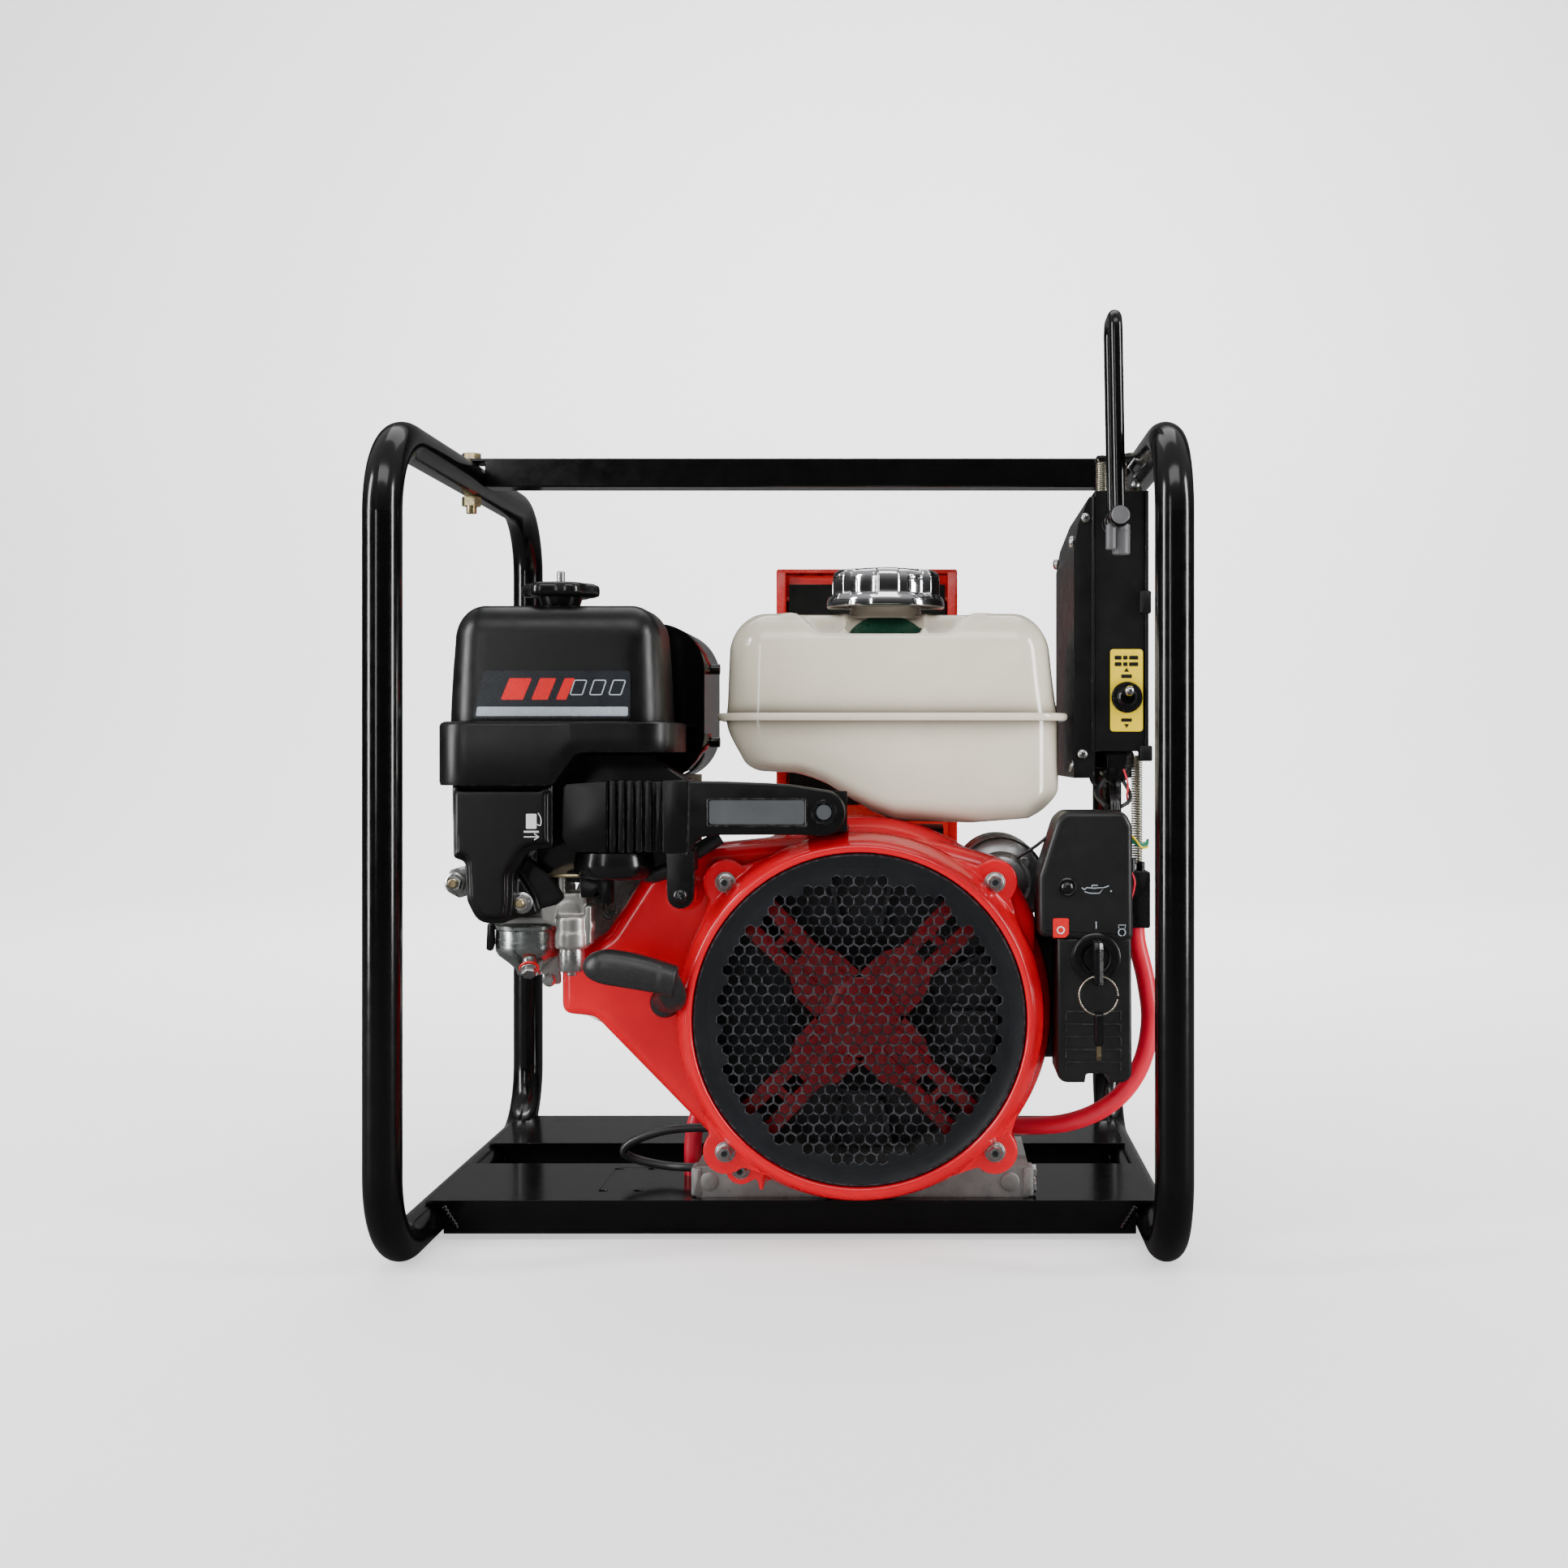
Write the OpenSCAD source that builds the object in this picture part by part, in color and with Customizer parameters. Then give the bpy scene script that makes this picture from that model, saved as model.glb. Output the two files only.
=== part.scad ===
// Open-frame portable generator: tube frame, electric-start engine, alternator and controls.
// Millimetres. Origin: bottom centre of the frame. +X right, +Y to the back, +Z up.

/* [Frame] */
// Diameter of the frame tube
tube_d = 25.4; // [24:0.1:26]
// Wall of the frame tube
tube_wall = 2; // [1.5:0.1:3]
// Distance between the two hoops, centre to centre
hoop_span = 512; // [512:1:520]
// Depth of a hoop between its legs, centre to centre
hoop_depth = 432; // [430:1:440]
// Height of a hoop over its tube
hoop_height = 565; // [560:1:580]
// Bend radius on the centre line of the tube
bend_r = 55; // [50:1:60]

/* [Base] */
// Thickness of the base sheet
sheet = 2.5; // [2:0.1:3]
// Radius of the small accessory holes
accessory_hole_r = 3.3; // [3:0.1:3.5]

/* [Engine] */
// Stroke of the piston
stroke = 58; // [54:1:60]
// Radius of the cylinder bore
bore_r = 38.5; // [36:0.5:39]
// Outer radius of the recoil ring
recoil_r = 123; // [121:1:123]
// Holes across the fan grille, middle row
grille_holes = 13; // [9:2:15]

/* [Fuel] */
// Sheet of the fuel tank
tank_wall = 1.2; // [1:0.1:1.6]
// Radius of the fuel cap
cap_r = 42; // [40:0.5:44]

/* [Alternator] */
// Outer radius of the alternator shell
alt_r = 92; // [90:1:94]

/* [Handle] */
// Diameter of the folding handle's rod
handle_d = 9.5; // [8:0.5:10]
// Length of the folding handle from its pivot
handle_len = 143; // [120:1:143]

/* [Hidden] */
$fn = 48;
fit = 0.05;
tube_r = tube_d / 2;
hx = hoop_span / 2;
hy = hoop_depth / 2;
deck_low = tube_d;
deck_top = tube_d + sheet;
flange_low = 4.4;
bar_half = 11;
bar_y = 15;
bar_low = hoop_height + 3 - 2 * bar_half;
bolt_y = bar_y;

// crank axis, cylinder plane and cylinder tilt
ex = 50.5;
ez = 161.5;
cyl_y = -62;
cyl_tilt = 25;
deck_at = 150;
crown_gap = 1;
foot_x = 97.5;
foot_y = [-91, -21];
foot_top = 49.5;
lobe = 92;
case_top = 214;
oil_at = [-40, 96];
valve_at = [-126, 244];
port = [-85, -40];
shell_ear = [-32, 55];
leg_screw = [-69.5, 246];
arm_end = [27, 302];

// stations along the crank axis, front to back
ring_front = -166;
grille_front = -163.5;
grille_back = -160.5;
shell_front = -140;
shell_back = -108;
case_front = -105.5;
split_y = -22;
case_back = -6;
bell_front = 150;
bell_back = 172;

// the starter grip leaves along this direction
guide_at = [-84, -152, 170];
pull = [-0.14, -0.81, 0.57];

tank_x = [-53, 197];
tank_y = [-131, 39];
seam = [364, 370];
tank_top = 440;
cap_at = [66, -66];

knob_at = [-158, -129];
box_x = [214.5, 250];
box_y = [-108, 69];
box_z = [343, 527];
pivot = [227, 503];
toggle_at = [237, 381];
key_at = [210.7, 202.7];
key_front = -156;
key_hole = [-176, 193.5];
relay = [[237, -108, 218], [254, -80, 258]];

// ---- helpers ----

function unit(v) = v / norm(v);

module box(lo, hi) {
    translate(lo) cube(hi - lo);
}

module y_rod(x, z, y0, y1, r) {
    translate([x, y0, z]) rotate([-90, 0, 0]) cylinder(r = r, h = y1 - y0);
}

module x_rod(y, z, x0, x1, r) {
    translate([x0, y, z]) rotate([0, 90, 0]) cylinder(r = r, h = x1 - x0);
}

module z_rod(x, y, z0, z1, r) {
    translate([x, y, z0]) cylinder(r = r, h = z1 - z0);
}

module rod(a, b, r) {
    v = b - a;
    translate(a) rotate([0, acos(v[2] / norm(v)), atan2(v[1], v[0])]) cylinder(r = r, h = norm(v));
}

// a drawing in X and Z, made solid from y0 to y1
module along_y(y0, y1) {
    translate([0, y1, 0]) rotate([90, 0, 0]) linear_extrude(y1 - y0) children();
}

// a drawing in Y and Z, made solid from x0 to x1
module along_x(x0, x1) {
    translate([x0, 0, 0]) rotate([90, 0, 90]) linear_extrude(x1 - x0) children();
}

module along_z(z0, z1) {
    translate([0, 0, z0]) linear_extrude(z1 - z0) children();
}

module rounded(lo, hi, r) {
    translate([lo[0] + r, lo[1]]) square([hi[0] - lo[0] - 2 * r, hi[1] - lo[1]]);
    translate([lo[0], lo[1] + r]) square([hi[0] - lo[0], hi[1] - lo[1] - 2 * r]);
    for (x = [lo[0] + r, hi[0] - r])
        for (y = [lo[1] + r, hi[1] - r])
            translate([x, y]) circle(r = r);
}

// local +Z runs up the cylinder, local +X points up and across it
module on_cylinder() {
    translate([ex, cyl_y, ez]) rotate([0, cyl_tilt - 90, 0]) children();
}

module hex_bolt_y(x, z, y_seat, head_h, af, shank_r, shank_to) {
    translate([x, y_seat - head_h, z]) rotate([-90, 0, 0]) cylinder(d = af / cos(30), h = head_h, $fn = 6);
    y_rod(x, z, y_seat - 0.01, shank_to, shank_r);
}

// smooth route through hand-placed points, and a tube swept along it
function spline(p0, p1, p2, p3, t) =
    0.5 * ((2 * p1) + (p2 - p0) * t + (2 * p0 - 5 * p1 + 4 * p2 - p3) * t * t
    + (3 * p1 - p0 - 3 * p2 + p3) * t * t * t);

function route(pts, per) = let (n = len(pts)) concat(
    [for (i = [0 : n - 2]) for (k = [0 : per - 1])
        spline(pts[max(i - 1, 0)], pts[i], pts[i + 1], pts[min(i + 2, n - 1)], k / per)],
    [pts[n - 1]]);

module cable(pts, r, per, ref, sides) {
    path = route(pts, per);
    n = len(path);
    rings = [for (i = [0 : n - 1])
        let (t = unit(path[min(i + 1, n - 1)] - path[max(i - 1, 0)]),
            u = unit(cross(ref, t)),
            v = cross(t, u))
        for (j = [0 : sides - 1])
            path[i] + r * (cos(360 * j / sides) * u + sin(360 * j / sides) * v)];
    skin = [for (i = [0 : n - 2]) for (j = [0 : sides - 1])
        let (a = i * sides + j,
            b = i * sides + (j + 1) % sides)
        each [[a, a + sides, b + sides], [a, b + sides, b]]];
    ends = [[for (j = [0 : sides - 1]) j],
        [for (j = [sides - 1 : -1 : 0]) (n - 1) * sides + j]];
    polyhedron(rings, concat(skin, ends));
}

// ---- frame ----

module tube_ring() {
    difference() {
        circle(r = tube_r);
        circle(r = tube_r - tube_wall);
    }
}

module hoop_bend() {
    rotate_extrude(angle = 90) translate([bend_r, 0]) tube_ring();
}

module hoop(side) {
    x = side * hx;
    y_in = hy - bend_r;
    z_low = tube_r + bend_r;
    z_high = hoop_height - tube_r - bend_r;
    color("black") difference() {
        union() {
            for (y = [-hy, hy])
                translate([x, y, z_low]) linear_extrude(z_high - z_low) tube_ring();
            for (z = [tube_r, hoop_height - tube_r])
                translate([x, y_in, z]) rotate([90, 0, 0]) linear_extrude(2 * y_in) tube_ring();
            translate([x, y_in, z_high]) rotate([90, 0, 90]) hoop_bend();
            translate([x, -y_in, z_high]) rotate([90, 0, 90]) rotate([0, 0, 90]) hoop_bend();
            translate([x, -y_in, z_low]) rotate([90, 0, 90]) rotate([0, 0, 180]) hoop_bend();
            translate([x, y_in, z_low]) rotate([90, 0, 90]) rotate([0, 0, 270]) hoop_bend();
        }
        z_rod(x, bolt_y, hoop_height - 40, hoop_height + 5, 4.2);
    }
}

module left_hoop() { hoop(-1); }

module right_hoop() { hoop(1); }

module channel(y0, y1) {
    x_end = hx - tube_r - 0.3;
    box([-hx, y0, deck_low], [hx, min(y1, hy - bend_r - 2), deck_top]);
    box([-x_end, y0, deck_low], [x_end, y1, deck_top]);
    for (y = [y0, y1 - sheet])
        box([-x_end, y, flange_low], [x_end, y + sheet, deck_top]);
}

module base_channels() {
    color("black") difference() {
        union() {
            channel(-116, -1);
            channel(71, 182);
        }
        for (x = [-136, -111])
            for (y = [-87, -19])
                z_rod(x, y, deck_low - 1, deck_top + 1, accessory_hole_r);
        for (x = [ex - foot_x, ex + foot_x])
            for (y = foot_y)
                z_rod(x, y, deck_low - 1, deck_top + 1, 5.2);
        for (x = [ex - 45, ex + 45])
            z_rod(x, 125, deck_low - 1, deck_top + 1, 4.2);
    }
}

module lift_bar() {
    inner = bar_half - 2;
    x_end = hx - tube_r - 0.3;
    tab = 3;
    color("black") difference() {
        union() {
            box([-x_end, bar_y - bar_half, bar_low], [x_end, bar_y + bar_half, bar_low + 2 * bar_half]);
            box([-hx - 10, bar_y - bar_half, hoop_height], [hx + 10, bar_y + bar_half, hoop_height + tab]);
        }
        box([-hx, bar_y - inner, bar_low + 2], [hx, bar_y + inner, bar_low + 2 * bar_half - tab]);
        for (x = [-hx, hx])
            z_rod(x, bolt_y, hoop_height - 1, hoop_height + tab + 1, 4.2);
    }
}

module frame_bolts() {
    head = 13 / cos(30);
    nut = 15 / cos(30);
    color("goldenrod") for (x = [-hx, hx]) {
        translate([x, bolt_y, hoop_height + 3]) cylinder(d = head, h = 5.3, $fn = 6);
        z_rod(x, bolt_y, 527, hoop_height + 3.1, 4);
        translate([x, bolt_y, hoop_height - tube_d - 7]) cylinder(d = head, h = 7, $fn = 6);
    }
    color("silver") for (x = [ex - foot_x, ex + foot_x])
        for (y = foot_y) {
            z_rod(x, y, 14, 66, 5);
            translate([x, y, foot_top]) cylinder(d = nut, h = 9, $fn = 6);
            translate([x, y, deck_low - 7]) cylinder(d = nut, h = 7, $fn = 6);
        }
}

// ---- engine ----

module case_outline() {
    rounded([-38, foot_top - 0.1], [138, case_top], 16);
}

module crankcase() {
    color("silver") difference() {
        union() {
            along_y(case_front, split_y) case_outline();
            box([-67, -106, deck_top], [168, case_back, foot_top]);
            on_cylinder() {
                box([-46, -44, 70], [46, 44, deck_at]);
                for (z = [93 : 9 : 147])
                    box([-56, -45, z], [56, 45, z + 3]);
            }
        }
        along_y(-87, split_y + 1) rounded([-28, 60], [128, 207], 10);
        y_rod(ex, ez, -104, -86, 36);
        y_rod(ex, ez, -107, -86, 20);
        on_cylinder() translate([0, 0, 30]) cylinder(r = bore_r, h = deck_at - 29);
        for (x = [ex - foot_x, ex + foot_x])
            for (y = foot_y)
                z_rod(x, y, deck_top - 1, foot_top + 1, 5.2);
        box([-38, split_y, foot_top], [139, 1, 240]);
        box([-20, -96, deck_top - 1], [121, -16, 42]);
        x_rod(oil_at[0], oil_at[1], 120, 140, 10);
    }
}

module crankcase_cover() {
    color("silver") difference() {
        along_y(split_y, case_back) rounded([-38, foot_top], [138, case_top], 16);
        y_rod(ex, ez, split_y - 1, case_back + 1, 36);
    }
}

module bearing_ring(y0, y1, r_out, r_in) {
    difference() {
        y_rod(ex, ez, y0, y1, r_out);
        y_rod(ex, ez, y0 - 1, y1 + 1, r_in);
    }
}

module main_bearings() {
    color("gray") {
        bearing_ring(-104, -88, 36, 17.5);
        bearing_ring(split_y, case_back, 36, 17.5);
        bearing_ring(154, bell_back - 3, 26, 12.5);
    }
}

module crankshaft() {
    journal = 17.5 - fit;
    throw_r = stroke / 2;
    color("dimgray") {
        y_rod(ex, ez, -124, -104, 12.4);
        y_rod(ex, ez, -104, -82, journal);
        y_rod(ex, ez, -82, -73, 44);
        y_rod(ex, ez + throw_r, -73.01, -51, 14);
        y_rod(ex, ez, -51.01, -40, 44);
        y_rod(ex, ez, -40.01, case_back, journal);
        y_rod(ex, ez, case_back - 0.01, 20, 12);
    }
}

module piston() {
    crown = deck_at - stroke / 2;
    color("lightgray") on_cylinder() difference() {
        translate([0, 0, crown - 45]) cylinder(r = bore_r - fit, h = 45 - crown_gap);
        translate([0, 0, crown - 46]) cylinder(r = bore_r - 6, h = 38);
        translate([0, 50, crown - 24]) rotate([90, 0, 0]) cylinder(r = 9, h = 100);
    }
}

module piston_pin() {
    color("gray") on_cylinder()
        translate([0, 36, deck_at - stroke / 2 - 24]) rotate([90, 0, 0]) cylinder(r = 9 - fit, h = 72);
}

module cylinder_head() {
    low = deck_at;
    color("silver") difference() {
        on_cylinder() difference() {
            union() {
                box([-46, -44, low], [46, 44, 190]);
                for (z = [156 : 9 : 183])
                    box([-54, -45, z], [54, 45, z + 3]);
            }
            translate([0, 0, low - 1]) cylinder(r = bore_r - 2, h = 9);
            translate([-60, 0, 171]) rotate([0, 90, 0]) cylinder(r = 6.1, h = 40);
        }
        z_rod(port[0], port[1], 258, 300, 14);
    }
}

module rocker_cover() {
    color("silver") on_cylinder() difference() {
        along_z(190, 220) rounded([-42, -36], [42, 36], 12);
        along_z(189, 217) rounded([-39, -33], [39, 33], 9);
    }
}

module spark_plug() {
    color("white") on_cylinder() translate([-20.5, 0, 171]) rotate([0, -90, 0]) {
        cylinder(r = 6, h = 26);
        translate([0, 0, 33.6]) cylinder(r = 9, h = 8);
        translate([0, 0, 25.9]) cylinder(r = 6, h = 34);
        translate([0, 0, 48]) cylinder(r = 10, h = 26);
    }
}

module oil_filler_cap() {
    color("dimgray") {
        x_rod(oil_at[0], oil_at[1], 125, 138.2, 10 - fit);
        x_rod(oil_at[0], oil_at[1], 138.1, 150, 14);
        x_rod(oil_at[0], oil_at[1], 104, 125.1, 2.5);
    }
}

module flywheel_fan() {
    blades = 14;
    color("dimgray") difference() {
        union() {
            y_rod(ex, ez, -118, -108.5, 96);
            y_rod(ex, ez, -124.5, -108.5, 40);
            for (i = [0 : blades - 1])
                translate([ex, 0, ez]) rotate([0, i * 360 / blades, 0])
                    box([62, -131.8, -1.5], [95, -117.9, 1.5]);
        }
        y_rod(ex, ez, -126, -107, 12.5);
    }
}

module shell_outline() {
    polygon([[-157, 200], [-157, 160], [-134, 158], [-51, 74], [-20, 56], [121, 56], [140, 76],
        [171.5, 124], [171.5, 228], [151, 268], [106, 282], [50, 287], [-6, 284], [-62, 279],
        [-96, 262], [-126, 217]]);
    translate([ex, ez]) circle(r = recoil_r + 3);
    for (x = [-lobe, lobe])
        for (z = [-lobe, lobe])
            translate([ex + x, ez + z]) circle(r = 12);
    translate(shell_ear) circle(r = 11);
}

module shell_hollow() {
    polygon([[-153, 197], [-153, 164], [-132, 162], [-48, 78], [-20, 62], [121, 62], [136, 80],
        [168, 127], [168, 226], [148, 264], [105, 278], [50, 283], [-6, 280], [-60, 275],
        [-93, 260], [-123, 215]]);
    translate([ex, ez]) circle(r = recoil_r - 2);
}

module fan_housing() {
    color("red") {
        difference() {
            along_y(shell_front, shell_back) shell_outline();
            along_y(shell_front + 3, shell_back + 1) shell_hollow();
            y_rod(ex, ez, shell_front - 1, shell_front + 4, 107);
            y_rod(-84, 170, shell_front - 1, shell_front + 4, 4);
            y_rod(leg_screw[0], leg_screw[1], shell_front - 1, shell_front + 4, 2.6);
            y_rod(shell_ear[0], shell_ear[1], shell_front - 1, shell_back + 1, 3.2);
            for (x = [-lobe, lobe])
                for (z = [-lobe, lobe])
                    y_rod(ex + x, ez + z, shell_front - 1, shell_back + 1, 3.2);
        }
        difference() {
            y_rod(leg_screw[0], leg_screw[1], -165, shell_front, 8);
            y_rod(leg_screw[0], leg_screw[1], -166, shell_front + 1, 2.6);
        }
    }
}

module recoil_housing() {
    arm = 9;
    color("red") difference() {
        union() {
            difference() {
                y_rod(ex, ez, ring_front, shell_front, recoil_r);
                y_rod(ex, ez, ring_front - 1, grille_back, 110.5);
                y_rod(ex, ez, grille_back - 1, shell_front + 1, 106);
            }
            for (a = [45, 135])
                translate([ex, 0, ez]) rotate([0, a, 0]) box([-108, -152, -arm], [108, -147, arm]);
            y_rod(ex, ez, -154, -143, 27);
            y_rod(ex, ez, -143.01, -127, 8);
            for (x = [-lobe, lobe])
                for (z = [-lobe, lobe])
                    y_rod(ex + x, ez + z, -150, shell_front, 11);
        }
        for (x = [-lobe, lobe])
            for (z = [-lobe, lobe])
                y_rod(ex + x, ez + z, -167, shell_front + 1, 3.2);
    }
}

module fan_grille() {
    pitch = 2 * 94 / grille_holes;
    color("black") difference() {
        y_rod(ex, ez, grille_front, grille_back, 110);
        for (row = [-grille_holes : grille_holes])
            for (col = [-grille_holes : grille_holes]) {
                x = (col + (row % 2 == 0 ? 0 : 0.5)) * pitch;
                z = row * pitch * sin(60);
                if (norm([x, z]) < 92)
                    translate([ex + x, grille_front - 1, ez + z]) rotate([-90, 30, 0])
                        cylinder(d = pitch * 0.86 / cos(30), h = 5, $fn = 6);
            }
    }
}

module housing_bolts() {
    color("silver") {
        for (x = [-lobe, lobe])
            for (z = [-lobe, lobe]) {
                y_rod(ex + x, ez + z, -152, -150, 6.9);
                hex_bolt_y(ex + x, ez + z, -151.9, 5, 10, 3, -110);
            }
        hex_bolt_y(shell_ear[0], shell_ear[1], shell_front, 6, 10, 3, -112);
        hex_bolt_y(leg_screw[0], leg_screw[1], -171, 3, 8, 2.5, -142);
        z_rod(knob_at[0], knob_at[1], 323, 468, 3);
    }
}

module recoil_pulley() {
    color("black") difference() {
        union() {
            y_rod(ex, ez, -141.5, -138, 52);
            y_rod(ex, ez, -138.1, -131, 46);
            y_rod(ex, ez, -131.1, -128.5, 52);
        }
        y_rod(ex, ez, -143, -127, 8 + fit);
    }
}

module rope_guide() {
    color("black") difference() {
        union() {
            y_rod(guide_at[0], guide_at[2], guide_at[1], shell_front, 8.5);
            y_rod(guide_at[0], guide_at[2], shell_front, shell_front + 3, 3.9);
        }
        y_rod(guide_at[0], guide_at[2], guide_at[1] - 1, shell_front + 5, 2.6);
    }
}

module starter_rope() {
    rope_y = -134.6;
    color("white") {
        rod([ex - 14, rope_y, ez + 46.6], [guide_at[0], rope_y, guide_at[2]], 1.8);
        y_rod(guide_at[0], guide_at[2], guide_at[1], rope_y, 2);
        z_rod(guide_at[0], rope_y, guide_at[2] - 2.3, guide_at[2] + 2.3, 2.2);
    }
}

module starter_grip() {
    a = [-124, -184, 196];
    b = [-77, -184, 184];
    stem_end = guide_at + 32 * pull;
    color("black") {
        rod(a, b, 11.5);
        translate(a) sphere(r = 11.5);
        translate(b) sphere(r = 11.5);
        rod(guide_at + [0, -4.3, 0], stem_end, 6);
    }
}

module starter_motor() {
    color("dimgray") {
        y_rod(148.5, 250, -98, 4, 32);
        y_rod(148.5, 250, -107, -97.9, 18);
        y_rod(148.5, 250, 3.9, 9, 27);
    }
}

// ---- fuel ----

module tank_lower(inset) {
    i = inset;
    intersection() {
        along_y(tank_y[0] + 10 + i, tank_y[1] - 10 - i)
            polygon([[-46 + i, seam[1]], [-40 + i, 335], [-24 + i, 321 + i], [2 + i, 318 + i],
                [50 + i, 293 + i],
                [75, 288 + i], [170 - i, 288 + i], [182 - i, 300], [190 - i, seam[1]]]);
        along_z(280, 380) rounded([-46 + i, -121 + i], [190 - i, 29 - i], 30);
    }
}

module tank_upper(inset) {
    i = inset;
    intersection() {
        along_y(tank_y[0] + 10 + i, tank_y[1] - 10 - i)
            rounded([-44 + i, 300], [188 - i, tank_top - i], 28);
        along_z(seam[0], 450) rounded([-46 + i, -121 + i], [190 - i, 29 - i], 30);
    }
}

module fuel_tank() {
    color("beige") difference() {
        union() {
            tank_lower(0);
            tank_upper(0);
            along_z(seam[0], seam[1]) rounded([tank_x[0], tank_y[0]], [tank_x[1], tank_y[1]], 36);
            z_rod(cap_at[0], cap_at[1], tank_top - 2, 452, 24);
        }
        tank_lower(tank_wall);
        tank_upper(tank_wall);
        z_rod(cap_at[0], cap_at[1], tank_top - 5, 453, 21);
    }
}

module fuel_cap() {
    lobes = 8;
    color("silver") difference() {
        union() {
            z_rod(cap_at[0], cap_at[1], 447, 456, cap_r + 1);
            z_rod(cap_at[0], cap_at[1], 455.9, 472, cap_r - 3);
            for (a = [0 : 360 / lobes : 359])
                translate([cap_at[0], cap_at[1], 455.9]) rotate([0, 0, a]) translate([cap_r - 6, 0, 0])
                    cylinder(r = 6, h = 15);
        }
        difference() {
            z_rod(cap_at[0], cap_at[1], 446, 464, 25);
            z_rod(cap_at[0], cap_at[1], 444, 465, 21 - fit);
        }
    }
}

module tank_brackets() {
    color("black") {
        box([62, -92, case_top], [108, -88, 284.1]);
        box([62, -14, case_top], [108, -10, 284.1]);
        box([62, -92, 284], [108, -10, 288]);
        difference() {
            union() {
                box([12, -160, 288.5], [42, -92, 291.5]);
                box([12, -160, 288.5], [42, -157, 316]);
                box([12, -95, 285.5], [66, -92, 288.6]);
            }
            y_rod(arm_end[0], arm_end[1], -161, -156, 2.6);
        }
    }
}

// ---- air cleaner and carburettor ----

module base_outline(i) {
    polygon([[-234.5 + i, 361], [-234.5 + i, 320 + i], [-150 - i / 2, 320 + i], [-140 - i / 2, 342 + i],
        [-75 - i, 342 + i], [-75 - i, 361]]);
}

module air_cleaner_base() {
    color("black") difference() {
        intersection() {
            along_y(-178, -79) base_outline(0);
            along_z(318, 360) rounded([-234.5, -178], [-75, -79], 24);
        }
        intersection() {
            along_y(-175, -82) base_outline(3);
            along_z(318, 365) rounded([-231.5, -175], [-78, -82], 21);
        }
        z_rod(-190, -154, 318, 325, 12);
    }
}

module cover_solid(i) {
    top = 443;
    intersection() {
        along_y(-171 + i, -86 - i) rounded([-229 + i, 320], [-82 - i, top - i], 30);
        along_z(300, 450) rounded([-229 + i, -171 + i], [-82 - i, -86 - i], 26 - i);
        along_x(-230, -80) rounded([-171 + i, 320], [-86 - i, top - i], 30);
    }
}

module air_cleaner_cover() {
    color("black") difference() {
        union() {
            intersection() {
                cover_solid(0);
                box([-240, -190, 360], [-70, -70, 450]);
            }
            along_z(360, 363) rounded([-234.5, -178], [-75, -79], 24);
        }
        difference() {
            cover_solid(3);
            box([-240, -190, 300], [-70, -70, 355]);
        }
        z_rod(knob_at[0], knob_at[1], 430, 450, 3.3);
    }
}

module air_filter() {
    color("orange") difference() {
        along_z(346, 420) rounded([-212, -159], [-104, -98], 24);
        along_z(345, 421) rounded([-188, -141], [-128, -116], 10);
    }
}

module air_cleaner_knob() {
    color("black") difference() {
        union() {
            z_rod(knob_at[0], knob_at[1], 443.4, 450, 14);
            z_rod(knob_at[0], knob_at[1], 449.9, 459, 24);
            for (a = [0 : 60 : 300])
                translate([knob_at[0], knob_at[1], 449.9]) rotate([0, 0, a]) translate([21, 0, 0])
                    cylinder(r = 6, h = 9.1);
        }
        z_rod(knob_at[0], knob_at[1], 440, 470, 3 + fit);
    }
}

module intake_elbow() {
    color("black") difference() {
        union() {
            along_y(-171, -139)
                polygon([[-222, 320], [-222, 270], [-210, 232], [-186, 226], [-161, 243], [-152, 262],
                    [-152, 320]]);
            hex_bolt_y(-222, 257, -160, 6, 10, 6, -150);
        }
        along_y(-168, -142)
            polygon([[-219, 321], [-219, 270], [-208, 235], [-186, 229], [-163, 245], [-155, 263],
                [-155, 321]]);
        y_rod(-186, 245, -143, -138, 10);
    }
}

module intake_arm_cover() {
    color("black") difference() {
        union() {
            along_y(-171, -160) polygon([[-57, 282], [27, 285], [27, 319], [0, 321], [-57, 324]]);
            along_y(-171, -160) translate(arm_end) circle(r = 17);
            box([-146, -171, 275], [-56.9, -145, 325]);
            along_y(-171, -165) polygon([[-80, 276], [-80, 246], [-59, 246], [-59, 276]]);
            y_rod(leg_screw[0], leg_screw[1], -171, -165, 10.5);
        }
        y_rod(leg_screw[0], leg_screw[1], -172, -164, 2.6);
        box([-144, -169, 277], [-59, -144, 323]);
        y_rod(arm_end[0], arm_end[1], -172, -159, 2.6);
    }
}

module label_plates() {
    color("gray") {
        along_y(-172, -171) rounded([-50, 294], [14, 310], 2);
        y_rod(arm_end[0], arm_end[1], -173, -171, 5);
        y_rod(arm_end[0], arm_end[1], -171.1, -157, 2.5);
    }
    color("gold") difference() {
        along_y(box_y[0] - 0.6, box_y[0]) rounded([225.5, 357], [248.5, 415], 2);
        y_rod(toggle_at[0], toggle_at[1], box_y[0] - 1, box_y[0] + 1, 11.2);
    }
}

module carburettor() {
    color("silver") {
        difference() {
            union() {
                box([-200, -138, 221], [-152, -104, 252]);
                box([-160, -150, 221], [-152, -130, 238]);
                box([-157, -162, 208], [-132, -141, 240]);
                box([-140, -146, 236], [-119, -141, 251]);
                y_rod(-186, 245, -142, -130, 9.8);
            }
            y_rod(-186, 245, -143, -106, 7);
        }
        z_rod(-181, -122, 197, 221.1, 23);
        z_rod(-181, -122, 192, 197.1, 14);
        z_rod(-181, -122, 184, 192.1, 5);
        z_rod(-144, -152, 193, 208.1, 8);
        y_rod(valve_at[0], valve_at[1], -153, -145.9, 2);
    }
}

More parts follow.
